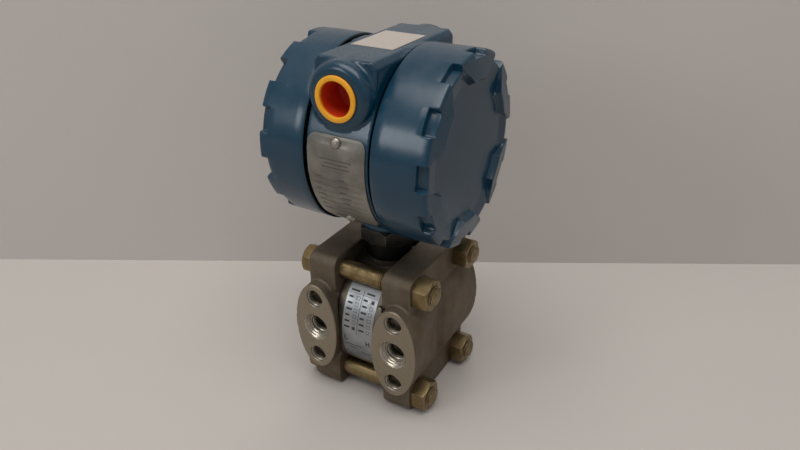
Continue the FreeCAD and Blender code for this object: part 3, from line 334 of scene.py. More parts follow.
def cast_steel(name):
    """Bare cast flange steel, machined bright on the two port faces and in their holes, with
    painted shade darkening the holes deeper in.
    """
    material, tree, shader = start_material(name, metallic=0.75, roughness=0.5)
    grain = tree.use(CAST_GRAIN, pit_scale=1100.0, wave_scale=130.0, pits=0.8)
    wear = tree.use(EDGE_WEAR, width=0.0006, amount=0.6, patch_scale=200.0)["Mask"]
    dusty = tree.use(DUST, amount=0.35, patch_scale=60.0)["Mask"]
    place = tree.place()
    machined, bored, deep = machined_masks(tree, tree.split(place))
    rough_tone = tree.mix(grain["Tone"], linear(80, 71, 60), linear(132, 120, 103))
    stains = tree.span(tree.noise(place, 55.0, 4.0, 0.6), 0.45, 0.7)
    cast = tree.mix(tree.math("MULTIPLY", stains, 0.5), rough_tone, linear(92, 70, 50))
    bright = tree.mix(wear, cast, linear(175, 165, 145))
    lines = tree.noise(tree.stretched(place, (1.0, 1.0, 14.0)), 240.0, 3.0, 0.6)
    ground = tree.mix(lines, linear(118, 108, 92), linear(160, 149, 130))
    # Painted shade: a bored hole goes from bright machined steel at its mouth to dark steel
    # deeper in
    face = tree.mix(bored, ground, tree.mix(deep, linear(186, 178, 164), linear(58, 53, 47)))
    tree.link(tree.mix(dusty, tree.mix(machined, bright, face), linear(132, 122, 106)),
              shader.inputs["Base Color"])
    rough = tree.math("SUBTRACT", 0.62, tree.math("MULTIPLY", machined, 0.26))
    smoother = tree.math("SUBTRACT", rough, tree.math("MULTIPLY", bored, 0.16))
    tree.link(tree.math("ADD", smoother, tree.math("MULTIPLY", dusty, 0.2)),
              shader.inputs["Roughness"])
    kept = tree.math("SUBTRACT", 1.0, tree.math("MULTIPLY", machined, 0.9))
    add_bump(tree, shader, tree.math("MULTIPLY", grain["Height"], kept), 0.00035, 0.8)
    return material


def plated_steel(name, light, dark, roughness=0.34, stain=0.5):
    """Yellow passivated or plain plated steel, dulled in patches."""
    material, tree, shader = start_material(name, metallic=0.9, roughness=roughness)
    grain = tree.use(CAST_GRAIN, pit_scale=1500.0, wave_scale=160.0, pits=0.5)
    wear = tree.use(EDGE_WEAR, width=0.0004, amount=0.6, patch_scale=260.0)["Mask"]
    place = tree.place()
    patches = tree.span(tree.noise(place, 110.0, 4.0, 0.6), 0.42, 0.68)
    tone = tree.mix(tree.math("MULTIPLY", patches, stain), light, dark)
    shade = tree.mix(grain["Tone"], tone, dark)
    worn = tree.mix(tree.math("MULTIPLY", wear, 0.7), shade, linear(205, 196, 176))
    tree.link(worn, shader.inputs["Base Color"])
    rough = tree.span(patches, 0.0, 1.0, roughness, roughness + 0.22)
    tree.link(rough, shader.inputs["Roughness"])
    add_bump(tree, shader, grain["Height"], 0.00008, 0.5)
    return material


def darker(tone, share):
    return linear(*(int(channel * share) for channel in tone))


def turned_steel(name, tone=(168, 162, 150), roughness=0.3, neck=None):
    """Machined steel with fine turning lines round the X axis, with painted shade, near black,
    above the height neck.
    """
    material, tree, shader = start_material(name, metallic=0.95, roughness=roughness)
    place = tree.place()
    lines = tree.noise(tree.stretched(place, (30.0, 1.0, 1.0)), 80.0, 3.0, 0.6)
    cloud = tree.noise(place, 60.0, 3.0, 0.6)
    colour = tree.mix(cloud, darker(tone, 0.78), linear(*tone))
    if neck is not None:
        # Painted shade: above the neck height the steel is painted near black, for the shadow
        # between the flanges
        above = tree.span(tree.split(place)["Z"], neck - 0.4 * MM, neck + 0.4 * MM)
        colour = tree.mix(above, colour, linear(30, 29, 28))
    tree.link(colour, shader.inputs["Base Color"])
    tree.link(tree.span(cloud, 0.2, 0.8, roughness, roughness + 0.2), shader.inputs["Roughness"])
    add_bump(tree, shader, lines, 0.00004, 0.4)
    return material


def sheet_metal(name, tone, roughness=0.4, metallic=0.8):
    """A thin printed plate, handled and slightly stained."""
    material, tree, shader = start_material(name, metallic=metallic, roughness=roughness)
    place = tree.place()
    cloud = tree.noise(place, 45.0, 4.0, 0.6)
    colour = tree.mix(tree.span(cloud, 0.35, 0.7), linear(*tone), darker(tone, 0.8))
    marks = tree.use(SCUFFS, scale=90.0, amount=0.4)
    scratched = tree.math("MULTIPLY", marks["Scratches"], 0.4)
    tree.link(tree.mix(scratched, colour, linear(225, 222, 214)), shader.inputs["Base Color"])
    tree.link(tree.span(cloud, 0.2, 0.8, roughness - 0.06, roughness + 0.16),
              shader.inputs["Roughness"])
    add_bump(tree, shader, cloud, 0.00006, 0.4)
    return material


def plain_finish(name, tone, roughness=0.5, metallic=0.0, variation=0.85, scale=80.0):
    """A moulded or coated surface with a little variation."""
    material, tree, shader = start_material(name, metallic=metallic, roughness=roughness)
    place = tree.place()
    cloud = tree.noise(place, scale, 4.0, 0.55)
    tree.link(tree.mix(cloud, darker(tone, variation), linear(*tone)),
              shader.inputs["Base Color"])
    low, high = max(0.05, roughness - 0.08), min(1.0, roughness + 0.1)
    tree.link(tree.span(cloud, 0.25, 0.75, low, high), shader.inputs["Roughness"])
    add_bump(tree, shader, tree.noise(place, scale * 14, 2.0, 0.5), 0.00003, 0.4)
    return material


def cap_plastic(name):
    """Yellow cap, painted a darker orange red deeper in its cup as painted shade and bounced
    light.
    """
    material, tree, shader = start_material(name, roughness=0.42, specular=0.5)
    place = tree.place()
    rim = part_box("conduit_protector")[0].y
    # Painted shade and bounced light: deeper in the cup the yellow turns to a darker orange red
    cup_shade = tree.span(tree.split(place)["Y"], rim + 0.3 * MM, rim + 2.4 * MM)
    cloud = tree.noise(place, 130.0, 3.0, 0.6)
    yellow = tree.mix(cloud, linear(226, 150, 12), linear(244, 178, 30))
    red = tree.mix(cloud, linear(178, 34, 10), linear(208, 62, 16))
    tree.link(tree.mix(cup_shade, yellow, red), shader.inputs["Base Color"])
    tree.link(tree.span(cloud, 0.2, 0.8, 0.34, 0.52), shader.inputs["Roughness"])
    add_bump(tree, shader, cloud, 0.00006, 0.4)
    return material


PAINT = painted_casting("blue_enamel", 0.16)
COVER_PAINT = painted_casting("blue_enamel_covers", 0.14)
FLANGE = cast_steel("cast_flange_steel")
YELLOW_ZINC = plated_steel("yellow_zinc", linear(160, 142, 104), linear(104, 86, 56))
DARK_STEEL = plated_steel("dark_plated_steel", linear(74, 70, 66), linear(38, 36, 34), 0.45)
STEEL = turned_steel("turned_steel")
BRIGHT = turned_steel("cut_thread_steel", (176, 168, 154), 0.24)
CELL_STEEL = turned_steel("cell_steel", (124, 115, 101), 0.36, neck=CELL_RADIUS + 1.5 * MM)
NAMEPLATE = sheet_metal("nameplate_steel", (142, 139, 130))
LABEL_SILVER = sheet_metal("label_silver", (156, 158, 160), 0.3, 0.8)
LABEL_CREAM = plain_finish("label_cream", (172, 162, 153), 0.6, variation=0.93)
RUBBER = plain_finish("black_rubber", (14, 14, 14), 0.62)
CAP = cap_plastic("cap_plastic")
BLOCK = plain_finish("black_moulding", (26, 26, 27), 0.5)
BOARD = plain_finish("green_board", (16, 84, 50), 0.38, variation=0.7)
COMPONENT = plain_finish("component_grey", (38, 38, 40), 0.45)
POT = plain_finish("pot_blue", (30, 70, 150), 0.35)
BRASS = plated_steel("terminal_brass", linear(206, 176, 110), linear(160, 130, 74), 0.3, 0.3)
INK = plain_finish("print_ink", (40, 38, 38), 0.6)
FAINT_INK = plain_finish("worn_ink", (84, 78, 72), 0.55)


# ------------------------------------------------------------------ mesh helpers

def put(mesh, name, material, body, replaced=(), angle=38.0):
    """Make an object of a finished mesh and hang it on its body."""
    piece = bpy.data.objects.new(name, mesh)
    bpy.context.scene.collection.objects.link(piece)
    mesh.materials.clear()
    mesh.materials.append(material)
    for polygon in mesh.polygons:
        polygon.use_smooth = True
        polygon.material_index = 0
    mesh.set_sharp_from_angle(angle=math.radians(angle))
    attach(piece, body)
    if replaced:
        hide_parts(*replaced)
    return piece


WELD = 2e-6  # points of a packed surface closer than this are one


@contextmanager
def reworked(mesh):
    """The mesh opened for changes, and written back after them."""
    form = bmesh.new()
    form.from_mesh(mesh)
    yield form
    form.to_mesh(mesh)
    form.free()


def merged_copy(node, flat_joined=True):
    """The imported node's surface with its loose triangles joined up."""
    mesh = nodes[node].data.copy()
    with reworked(mesh) as form:
        bmesh.ops.remove_doubles(form, verts=form.verts, dist=WELD)
        if flat_joined:
            bmesh.ops.dissolve_limit(form, angle_limit=math.radians(0.6), verts=form.verts,
                                     edges=form.edges, delimit={"NORMAL"})
    return mesh


def evaluated(mesh, *modifiers):
    """Apply modifiers to a mesh, and give back a plain mesh."""
    holder = bpy.data.objects.new("holder", mesh)
    bpy.context.scene.collection.objects.link(holder)
    for kind, settings in modifiers:
        modifier = holder.modifiers.new(kind.lower(), kind)
        for name, value in settings.items():
            setattr(modifier, name, value)
    bpy.context.view_layer.update()
    graph = bpy.context.evaluated_depsgraph_get()
    result = bpy.data.meshes.new_from_object(holder.evaluated_get(graph))
    bpy.data.objects.remove(holder)
    return result


def broken_edges(node, width, material, body):
    """A node with its sharp edges taken off."""
    mesh = evaluated(merged_copy(node), ("BEVEL", {
        "width": width, "segments": 2, "limit_method": "ANGLE",
        "angle_limit": math.radians(32), "use_clamp_overlap": True}))
    return put(mesh, node + "_finished", material, body, (node,))


def softened(node, voxel, material, body, kept=1.0):
    """A cast node with the soft edges and small fillets that a casting has."""
    steps = [("REMESH", {"mode": "VOXEL", "voxel_size": voxel, "adaptivity": 0.0}),
             ("SMOOTH", {"factor": 0.5, "iterations": 2})]
    if kept < 1.0:
        steps.append(("DECIMATE", {"ratio": kept}))
    mesh = evaluated(merged_copy(node, flat_joined=False), *steps)
    return put(mesh, node + "_cast", material, body, (node,), 60.0)


# ------------------------------------------------------------------ covers

# Form of the covers. Lengths are in millimetres, angles in degrees.
COVER_START = 20.0                      # where a cover begins, next to the housing
RIM, NOTCH_FLOOR = 53.0, 49.3           # radius of the band, and at the bottom of a notch
RING_SEAT, BORE, THREAD = 49.3, 43.4, 46.08    # radii inside: ring seat, bore, thread
SUNK, WALL = 3.6, 6.0                   # from the lugs' crest to the face and to the inside
LUGS, HALF_PITCH = 6, 30.0
LUG_INNER, LUG_HALF = 38.4, 11.0        # inner edge of a lug, and half its width there
NOTCH_HALF = 7.25
LUG_OUTER_HALF = HALF_PITCH - NOTCH_HALF
FLANK_BAND = 0.55                       # how far either side of a flank the sweep is dense


def cover_profiles(recess_start, face):
    """Matching outlines of a cover through a gripping lug, its outer notch and an open gap.

    The lugs stand proud of the cover's flat face, and slope up to a crest at their inner side.
    Each point is its place along the axis and its radius.
    """
    start, rim, floor, plane = COVER_START, RIM, NOTCH_FLOOR, face - SUNK
    crest = [(face - 0.02, LUG_INNER + 1.2), (face, LUG_INNER + 0.6),
             (face - 0.15, LUG_INNER + 0.2), (face - 0.8, LUG_INNER - 0.1),
             (plane + 0.7, LUG_INNER - 1.2), (plane + 0.15, LUG_INNER - 1.7),
             (plane, LUG_INNER - 2.6)]
    begun = [(start, 52.2), (start + 0.25, 52.75), (start + 0.8, rim), (start + 6, rim),
             (recess_start - 4, rim), (recess_start - 0.5, rim)]
    slope = [(face - 1.35 + (48.0 - radius) * 0.155, radius)
             for radius in (48.0, 46.0, 44.0, 42.0)]
    plain = [(recess_start + shift, rim) for shift in (-0.1, 0.1, 0.3, 0.6, 1.2)]
    shoulder = [(face - 3.4, rim), (face - 2.7, rim - 0.1), (face - 2.1, rim - 0.5),
                (face - 1.75, rim - 1.2), (face - 1.55, rim - 2.4)]
    sunk = [(recess_start - 0.1, rim - 0.15), (recess_start + 0.1, rim - 0.8),
            (recess_start + 0.2, floor + 0.8), (recess_start + 0.5, floor + 0.2),
            (recess_start + 1.2, floor)]
    notch_end = [(face - 3.4, floor), (face - 2.4, floor), (face - 1.75, floor - 0.02),
                 (face - 1.5, floor - 0.15), (face - 1.38, floor - 0.6)]
    gap_end = [(face - 4.0, floor), (face - 3.2, floor - 0.1), (face - 2.7, floor - 0.5),
               (face - 2.5, floor - 1.1), (face - 2.55, floor - 1.9)]
    gap_end += [(face - 2.6 - (47.0 - radius) * 0.13, radius)
                for radius in (46.8, 45.5, 44.0, 42.0)]
    gap_end += [(plane, radius) for _, radius in crest]
    inner, thread_end, seat_end = face - WALL, 38.6, start + 1.8
    inside = [(plane, 30.0), (plane, 12.0), (plane, 0.0), (inner, 0.0), (inner, BORE - 3.0),
              (inner - 3, BORE), (thread_end, BORE), (thread_end, THREAD), (seat_end, THREAD),
              (seat_end, RING_SEAT), (start, RING_SEAT)]
    lug = begun + plain + shoulder + slope + crest
    notch = begun + sunk + notch_end + slope + crest
    return lug, notch, begun + sunk + gap_end, inside


def eased(value):
    value = max(0.0, min(1.0, value))
    return value * value * (3 - 2 * value)


def flank_place(step, edge):
    """Where a line of the sweep runs, as the lug's flank moves in from its outer edge."""
    size, outer, band = abs(step), LUG_OUTER_HALF, FLANK_BAND
    if size <= outer - band:
        size *= (edge - band) / (outer - band)
    elif size <= outer + band:
        size += edge - outer
    else:
        left = (HALF_PITCH - edge - band) / (HALF_PITCH - outer - band)
        size = HALF_PITCH - (HALF_PITCH - size) * left
    return math.copysign(size, step)


def cover_ring(profiles, step):
    """The outline at one line of the sweep, with each point's own place round the axis."""
    lug, notch, gap, inside = profiles
    notched = eased((NOTCH_HALF + 0.35 - abs(step)) / 0.9)
    opened = eased((abs(step) - LUG_OUTER_HALF + 0.35) / 0.65)
    ring = []
    for (x0, r0), (x1, r1), (x2, r2) in zip(lug, notch, gap):
        reach = max(0.0, min(1.0, (r0 - LUG_INNER) / (NOTCH_FLOOR - LUG_INNER)))
        edge = LUG_HALF + (LUG_OUTER_HALF - LUG_HALF) * reach
        ring.append((x0 + (x1 - x0) * notched + (x2 - x0) * opened,
                     r0 + (r1 - r0) * notched + (r2 - r0) * opened, flank_place(step, edge)))
    # The face inside the lugs follows their flanks, the bore behind it does not
    behind_face = 45
    place = flank_place(step, LUG_HALF)
    ring += [(x, radius, place if x > behind_face else step) for x, radius in inside]
    return ring


def cover_mesh(name, side, profiles, turn):
    """Sweep the outlines round the axis; turn is the angle of one lug's outer notch."""
    # Angles from a lug's middle, closest together at the notch's side and at the lug's flank
    steps = [3.0, 5.6, 6.5, 6.85, 7.15, 7.45, 7.8, 8.6, 12.0, 17.0, 21.0]
    steps += [LUG_OUTER_HALF + shift
              for shift in (-FLANK_BAND, -0.35, -0.2, 0.0, 0.15, 0.3, FLANK_BAND, 1.5, 4.0)]
    steps = [-step for step in reversed(steps)] + [0.0] + steps + [HALF_PITCH]
    mesh = bpy.data.meshes.new(name)
    with reworked(mesh) as form:
        rings = []
        for lug_number in range(LUGS):
            for step in steps:
                rings.append([])
                for x, radius, place in cover_ring(profiles, step):
                    angle = math.radians(turn + 2 * HALF_PITCH * lug_number + place)
                    rings[-1].append(form.verts.new((
                        side * x * MM, HOUSING_Y - radius * MM * math.cos(angle),
                        HOUSING_Z + radius * MM * math.sin(angle))))
        for index, ring in enumerate(rings):
            following = rings[(index + 1) % len(rings)]
            for place, point in enumerate(ring):
                after = (place + 1) % len(ring)
                form.faces.new((point, ring[after], following[after], following[place]))
        bmesh.ops.remove_doubles(form, verts=form.verts, dist=1e-6)
        bmesh.ops.dissolve_degenerate(form, edges=form.edges, dist=1e-6)
        bmesh.ops.recalc_face_normals(form, faces=form.faces)
    return mesh


def make_covers():
    high = cover_mesh("cover_high", 1, cover_profiles(45.6, 53.0), 33.75)
    put(high, "high_side_cover", COVER_PAINT, "high_cover",
        ("cover_high_side",), 50.0)
    low = cover_mesh("cover_low", -1, cover_profiles(43.0, 50.4), 17.75)
    put(low, "low_side_cover", COVER_PAINT, "low_cover",
        ("cover_low_side",), 50.0)


# ------------------------------------------------------------------ threads

def thread_tree():
    """Geometry Nodes: a helical ridge of chosen radius, pitch and length along +Z."""
    tree = bpy.data.node_groups.new("thread_ridge", "GeometryNodeTree")
    for label, kind, default in (("Radius", "NodeSocketFloat", 0.006),
                                 ("End radius", "NodeSocketFloat", 0.006),
                                 ("Pitch", "NodeSocketFloat", 0.0014),
                                 ("Length", "NodeSocketFloat", 0.010),
                                 ("Ridge", "NodeSocketFloat", 0.0005),
                                 ("Material", "NodeSocketMaterial", None)):
        socket = tree.interface.new_socket(label, in_out="INPUT", socket_type=kind)
        if default is not None:
            socket.default_value = default
    tree.interface.new_socket("Geometry", in_out="OUTPUT", socket_type="NodeSocketGeometry")
    build = Tree(tree)
    start, end = build.node("NodeGroupInput"), build.node("NodeGroupOutput")
    helix = build.node("GeometryNodeCurveSpiral")
    helix.inputs["Resolution"].default_value = 28
    turns = build.math("DIVIDE", start.outputs["Length"], start.outputs["Pitch"])
    build.link(turns, helix.inputs["Rotations"])
    build.link(start.outputs["Radius"], helix.inputs["Start Radius"])
    build.link(start.outputs["End radius"], helix.inputs["End Radius"])
    build.link(start.outputs["Length"], helix.inputs["Height"])
    section = build.node("GeometryNodeCurvePrimitiveCircle")
    section.inputs["Resolution"].default_value = 4
    build.link(start.outputs["Ridge"], section.inputs["Radius"])
    sweep = build.node("GeometryNodeCurveToMesh")
    build.link(helix.outputs[0], sweep.inputs["Curve"])
    build.link(section.outputs[0], sweep.inputs["Profile Curve"])
    sweep.inputs["Fill Caps"].default_value = True
    real = build.node("GeometryNodeRealizeInstances")
    build.link(sweep.outputs[0], real.inputs[0])
    painted = build.node("GeometryNodeSetMaterial")
    build.link(real.outputs[0], painted.inputs[0])
    build.link(start.outputs["Material"], painted.inputs["Material"])
    build.link(painted.outputs[0], end.inputs[0])
    return tree


THREAD_RIDGE = thread_tree()
AXES = {"X": Matrix.Rotation(math.radians(90), 4, "Y"),
        "Y": Matrix.Rotation(math.radians(-90), 4, "X")}


def thread_mesh(radius, pitch, length, ridge, base, axis, material, end_radius=None):
    """One helical ridge, turned to its axis and put at its base point."""
    end_radius = radius if end_radius is None else end_radius
    holder = bpy.data.objects.new("thread", bpy.data.meshes.new("thread"))
    bpy.context.scene.collection.objects.link(holder)
    modifier = holder.modifiers.new("thread", "NODES")
    modifier.node_group = THREAD_RIDGE
    values = {"Radius": radius, "End radius": end_radius, "Pitch": pitch, "Length": length,
              "Ridge": ridge, "Material": material}
    for item in THREAD_RIDGE.interface.items_tree:
        if item.in_out == "INPUT" and item.name in values:
            modifier[item.identifier] = values[item.name]
    bpy.context.view_layer.update()
    graph = bpy.context.evaluated_depsgraph_get()
    mesh = bpy.data.meshes.new_from_object(holder.evaluated_get(graph))
    holder.modifiers.clear()
    bpy.data.objects.remove(holder)
    mesh.transform(Matrix.Translation(base) @ AXES[axis])
    return mesh


def joined(meshes, name):
    result = bpy.data.meshes.new(name)
    with reworked(result) as form:
        for mesh in meshes:
            form.from_mesh(mesh)
    return result


# Pitch of the threads, and the radius at which each ridge runs
PORT_PITCH, BOLT_PITCH = 1.41 * MM, 1.27 * MM
MOUTH_RADIUS, PORT_RADIUS = 8.55 * MM, 6.35 * MM
TAPPED_RADIUS, BOLT_RADIUS = 5.62 * MM, 5.15 * MM


def make_threads():
    """Threads in the ports and tapped holes of both flanges, and on the bolts."""
    rear_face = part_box("process_flange_high")[1].y
    inset, port_length, tapped_length = 1.0 * MM, 13.5 * MM, 12.5 * MM
    pieces = []
    for x in (-PORT_X, PORT_X):
        pieces.append(thread_mesh(MOUTH_RADIUS, PORT_PITCH, 3 * PORT_PITCH, 0.6 * MM,
                                  (x, 0.7 * MM, 0), "Y", BRIGHT, PORT_RADIUS))
        pieces.append(thread_mesh(PORT_RADIUS, PORT_PITCH, port_length, 0.7 * MM,
                                  (x, 5.0 * MM, 0), "Y", BRIGHT))
        for z in (-TAPPED_Z, TAPPED_Z):
            for base in (inset, rear_face - inset - tapped_length):
                pieces.append(thread_mesh(TAPPED_RADIUS, BOLT_PITCH, tapped_length, 0.62 * MM,
                                          (x, base, z), "Y", BRIGHT))
    put(joined(pieces, "port_threads"), "port_threads", BRIGHT, "sensor_module",
        (), 25.0)
    # Bolt threads show between the flanges and past the nuts
    between, nut_end = 11.8 * MM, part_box("flange_nuts")[1].x
    rods = []
    for y in BOLT_YS:
        for z in (-BOLT_Z, BOLT_Z):
            for base, length in ((between, 4.0 * MM), (nut_end - 0.3 * MM, 2.2 * MM)):
                rods.append(thread_mesh(BOLT_RADIUS, BOLT_PITCH, length, 0.5 * MM,
                                        (base, y, z), "X", YELLOW_ZINC))
    put(joined(rods, "bolt_threads"), "bolt_threads", YELLOW_ZINC, "sensor_module",
        (), 25.0)


# ------------------------------------------------------------------ printed plates

def wrapped_patch(form, across, along, radius, centre):
    """A thin rectangle wrapped on a cylinder; along is measured round it from the front."""
    (x0, x1), (s0, s1) = across, along
    count = max(2, int((s1 - s0) / (2.0 * MM)) + 1)
    rows = []
    for index in range(count + 1):
        angle = (s0 + (s1 - s0) * index / count) / radius
        y = centre[0] - radius * math.cos(angle)
        z = centre[1] + radius * math.sin(angle)
        rows.append((form.verts.new((x0, y, z)), form.verts.new((x1, y, z))))
    for first, second in zip(rows, rows[1:]):
        form.faces.new((first[0], first[1], second[1], second[0]))


PRINT_THICKNESS = 0.04 * MM


def printed(name, patches, radius, centre, body, ink=None):
    """Fields of ink on a round plate. A patch is its X range and its range round the plate."""
    mesh = bpy.data.meshes.new(name)
    with reworked(mesh) as form:
        for x0, x1, s0, s1 in patches:
            wrapped_patch(form, (x0 * MM, x1 * MM), (s0 * MM, s1 * MM), radius, centre)
    mesh = evaluated(mesh, ("SOLIDIFY", {"thickness": PRINT_THICKNESS, "offset": -1.0}))
    with reworked(mesh) as form:
        bmesh.ops.recalc_face_normals(form, faces=form.faces)
    return put(mesh, name, ink or INK, body)


def frame_patches(x0, x1, s0, s1, line=0.25):
    """The four sides of a printed box."""
    return [(x0, x1, s0, s0 + line), (x0, x1, s1 - line, s1),
            (x0, x0 + line, s0, s1), (x1 - line, x1, s0, s1)]


def nameplate_print():
    """Short bars and long rules where the data plate carries its fields."""
    patches = []
    for row, half in enumerate((9.5, 7.0, 8.5)):
        s = 3.0 - row * 2.1
        patches.append((-half, half, s, s + 0.6))
    for row in range(7):
        s = -8.5 - row * 3.9
        patches.append((-14.5, 14.5, s, s + 0.16))
        patches.append((-13.8, -9.0 - (row % 3), s + 0.9, s + 1.5))
        patches.append((0.8, 5.0 + (row % 2) * 2, s + 0.9, s + 1.5))
    printed("nameplate_fields", patches, BARREL_RADIUS + PLATE_THICKNESS + 0.06 * MM,
            (HOUSING_Y, HOUSING_Z), "housing", FAINT_INK)


def letter_patches(letter, x, s, wide, high, line):
    """The marks L and H, for the low and high pressure sides."""
    strokes = [(x, x + line, s, s + high)]
    if letter == "L":
        strokes.append((x, x + wide, s, s + line))
    if letter == "H":
        strokes.append((x + wide - line, x + wide, s, s + high))
        strokes.append((x, x + wide, s + high / 2 - line / 2, s + high / 2 + line / 2))
    return strokes


def cell_label_print():
    """Tick boxes in two columns, the L and H marks and a few ruled lines."""
    patches = [(-0.15, 0.15, 2.0, 30.0), (-9.6, 9.6, 26.8, 27.0)]
    patches += [(-8.8, -3.0, 28.0, 29.1), (2.0, 7.4, 28.0, 29.1)]
    for row in range(6):
        s = 23.2 - row * 3.8
        for x in (-9.0, 1.0):
            wide = 2.8 + (row * 7 % 3) * 0.5
            patches.append((x, x + wide, s + 0.6, s + 1.8))
            patches += frame_patches(x + 5.2, x + 7.5, s, s + 2.3, 0.22)
    patches += [(6.6, 8.2, 23.5, 25.1), (-3.4, -1.8, 4.5, 6.1)]
    patches += letter_patches("L", -9.0, -4.6, 2.4, 3.6, 0.7)
    patches += letter_patches("H", 6.0, -4.6, 2.8, 3.6, 0.7)
    for row, (x0, x1) in enumerate(((-9.0, 3.0), (-6.5, -1.0), (2.0, 8.5))):
        s = -7.6 - row * 2.3
        patches.append((x0, x1, s, s + 0.5))
    label_thickness = 0.25 * MM
    printed("cell_label_marks", patches, CELL_RADIUS + label_thickness + PRINT_THICKNESS,
            (CELL_Y, 0.0), "sensor_module")


# ------------------------------------------------------------------ pieces

def finish_nodes():
    """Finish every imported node: cast pieces are softened, machined ones lose their burrs."""
    softened("electronics_housing", 0.8 * MM, PAINT, "housing", 0.7)
    for node in ("process_flange_low", "process_flange_high"):
        softened(node, 0.62 * MM, FLANGE, "sensor_module")
    # Node, width of the broken edge in millimetres, material, body and slot
    crisp = [
        ("flange_bolts", 0.35, YELLOW_ZINC, "sensor_module", "yellow_zinc"),
        ("flange_nuts", 0.35, YELLOW_ZINC, "sensor_module", "yellow_zinc"),
        ("vent_seat_low", 0.3, STEEL, "sensor_module", "stainless"),
        ("vent_seat_high", 0.3, STEEL, "sensor_module", "stainless"),
        ("vent_stem_low", 0.3, STEEL, "low_vent", "stainless"),
        ("vent_stem_high", 0.3, STEEL, "high_vent", "stainless"),
        ("sensor_cell", 0.3, CELL_STEEL, "sensor_module", "stainless"),
        ("cell_fill_plug", 0.4, STEEL, "sensor_module", "stainless"),
        ("neck_lock_nut", 0.5, DARK_STEEL, "sensor_module", "nut_steel"),
        ("conduit_plug", 0.5, STEEL, "housing", "stainless"),
        ("conduit_protector", 0.3, CAP, "conduit_cap", "cap_plastic"),
        ("nameplate", 0.15, NAMEPLATE, "housing", "plate_metal"),
        ("nameplate_screws", 0.2, STEEL, "housing", "stainless"),
        ("terminal_block", 0.5, BLOCK, "housing", "block_black"),
        ("terminal_screws", 0.3, BRASS, "housing", "terminal_brass"),
        ("terminal_block_screws", 0.3, STEEL, "housing", "stainless"),
        ("amplifier_board", 0.1, BOARD, "housing", "board_green"),
        ("calibration_board", 0.1, BOARD, "housing", "board_green"),
        ("board_standoffs", 0.2, BRASS, "housing", "terminal_brass"),
        ("board_screws", 0.3, STEEL, "housing", "stainless"),
        ("trim_pots", 0.3, POT, "housing", "pot_blue"),
        ("board_components", 0.3, COMPONENT, "housing", "component_grey"),
        ("zero_screw", 0.2, BRASS, "zero_adjuster", "terminal_brass"),
        ("span_screw", 0.2, BRASS, "span_adjuster", "terminal_brass"),
    ]
    for node, width, material, body, slot in crisp:
        broken_edges(node, width * MM, material, body)


def paint_plain_nodes():
    """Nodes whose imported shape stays, with their finish."""
    for node, material in (("cell_label", LABEL_SILVER), ("top_label", LABEL_CREAM),
                           ("cell_header", STEEL), ("isolating_diaphragm_low", STEEL),
                           ("isolating_diaphragm_high", STEEL), ("process_seal_low", RUBBER),
                           ("process_seal_high", RUBBER), ("cover_ring_low", RUBBER),
                           ("cover_ring_high", RUBBER)):
        mesh = nodes[node].data
        mesh.materials.clear()
        mesh.materials.append(material)


# ------------------------------------------------------------------ stage, lights, camera

def stage_material(name, tone, one_sided=False):
    """A plain pale surface; a one sided one can't be seen from behind."""
    material, tree, shader = start_material(name, roughness=0.75, specular=0.2)
    place = tree.place()
    cloud = tree.noise(place, 3.0, 3.0, 0.5)
    dark = tuple(channel * 0.96 for channel in tone)
    tree.link(tree.mix(cloud, linear(*dark), linear(*tone)), shader.inputs["Base Color"])
    if one_sided:
        behind = tree.math("MAXIMUM", tree.node("ShaderNodeNewGeometry").outputs["Backfacing"],
                           tree.node("ShaderNodeLightPath").outputs["Is Shadow Ray"])
        clear = tree.node("ShaderNodeBsdfTransparent")
        either = tree.node("ShaderNodeMixShader")
        tree.link(behind, either.inputs[0])
        tree.link(shader.outputs[0], either.inputs[1])
        tree.link(clear.outputs[0], either.inputs[2])
        output = next(node for node in tree.tree.nodes if node.type == "OUTPUT_MATERIAL")
        tree.link(either.outputs[0], output.inputs[0])
    return material


def flat_stage(name, corners, material):
    mesh = bpy.data.meshes.new(name)
    mesh.from_pydata(corners, [], [(0, 1, 2, 3)])
    piece = bpy.data.objects.new(name, mesh)
    mesh.materials.append(material)
    bpy.context.scene.collection.objects.link(piece)


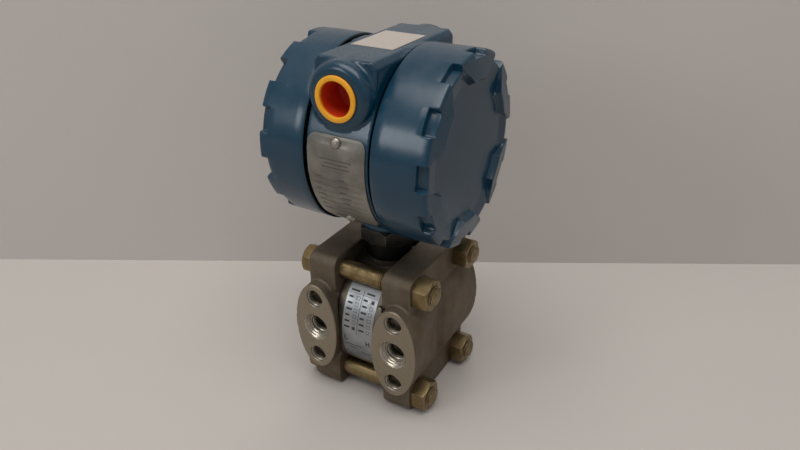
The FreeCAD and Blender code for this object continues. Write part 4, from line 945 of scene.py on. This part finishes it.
def make_stage():
    """A floor, and a wall that stands close behind the object, nearly square to the view."""
    floor = stage_material("floor_pale", (188, 182, 177))
    wall = stage_material("wall_pale", (198, 192, 187), True)
    under, behind = 0.1 * MM, 165.4 * MM
    reach, high = 3.0, 2.6
    along = Vector((0.8735, 0.487, 0))
    back = Vector((-0.487, 0.8735, 0))
    foot = Vector((0, 0, FLOOR_Z - under)) + back * behind
    left, right = foot - along * reach, foot + along * reach
    rear = back * 2.0
    flat_stage("floor", [left + rear, left - rear * 2, right - rear * 2, right + rear], floor)
    rise = Vector((0, 0, high))
    flat_stage("wall", [right, right + rise, left + rise, left], wall)


def area_light(name, place, target, size, power, tone):
    lamp = bpy.data.lights.new(name, "AREA")
    lamp.shape = "RECTANGLE"
    lamp.size, lamp.size_y = size
    lamp.energy = power
    lamp.color = tone
    piece = bpy.data.objects.new(name, lamp)
    piece.location = place
    piece.rotation_euler = (Vector(target) - Vector(place)).to_track_quat("-Z", "Y").to_euler()
    bpy.context.scene.collection.objects.link(piece)


def make_lights():
    area_light("ceiling", (0.1, -0.35, 1.5), (0, 0.05, 0.05), (1.6, 1.0), 17.0, (1.0, 0.98, 0.95))
    area_light("window", (-0.72, -1.32, 0.66), (0, 0, 0.08), (0.4, 0.55), 3.4, (0.95, 0.98, 1.0))
    area_light("rear", (-0.5, 1.5, 1.1), (0, 0.05, 0.08), (1.2, 0.8), 5.0, (1.0, 0.99, 0.97))
    world = bpy.data.worlds.new("room")
    world.use_nodes = True
    background = world.node_tree.nodes["Background"]
    background.inputs["Color"].default_value = (0.80, 0.80, 0.82, 1.0)
    background.inputs["Strength"].default_value = 0.42
    bpy.context.scene.world = world


def make_camera():
    place, view = (0.1833, -0.2633, 0.2527), Vector((-0.437, 0.761, -0.479))
    lens = bpy.data.cameras.new("camera")
    lens.lens = 30.48
    lens.sensor_width = 36.0
    camera = bpy.data.objects.new("camera", lens)
    camera.location = place
    camera.rotation_euler = view.to_track_quat("-Z", "Y").to_euler()
    bpy.context.scene.collection.objects.link(camera)
    bpy.context.scene.camera = camera


# ------------------------------------------------------------------ run


make_camera()
make_covers()
finish_nodes()
paint_plain_nodes()
make_threads()
nameplate_print()
cell_label_print()
make_stage()
make_lights()
bpy.context.scene.view_settings.view_transform = "Standard"
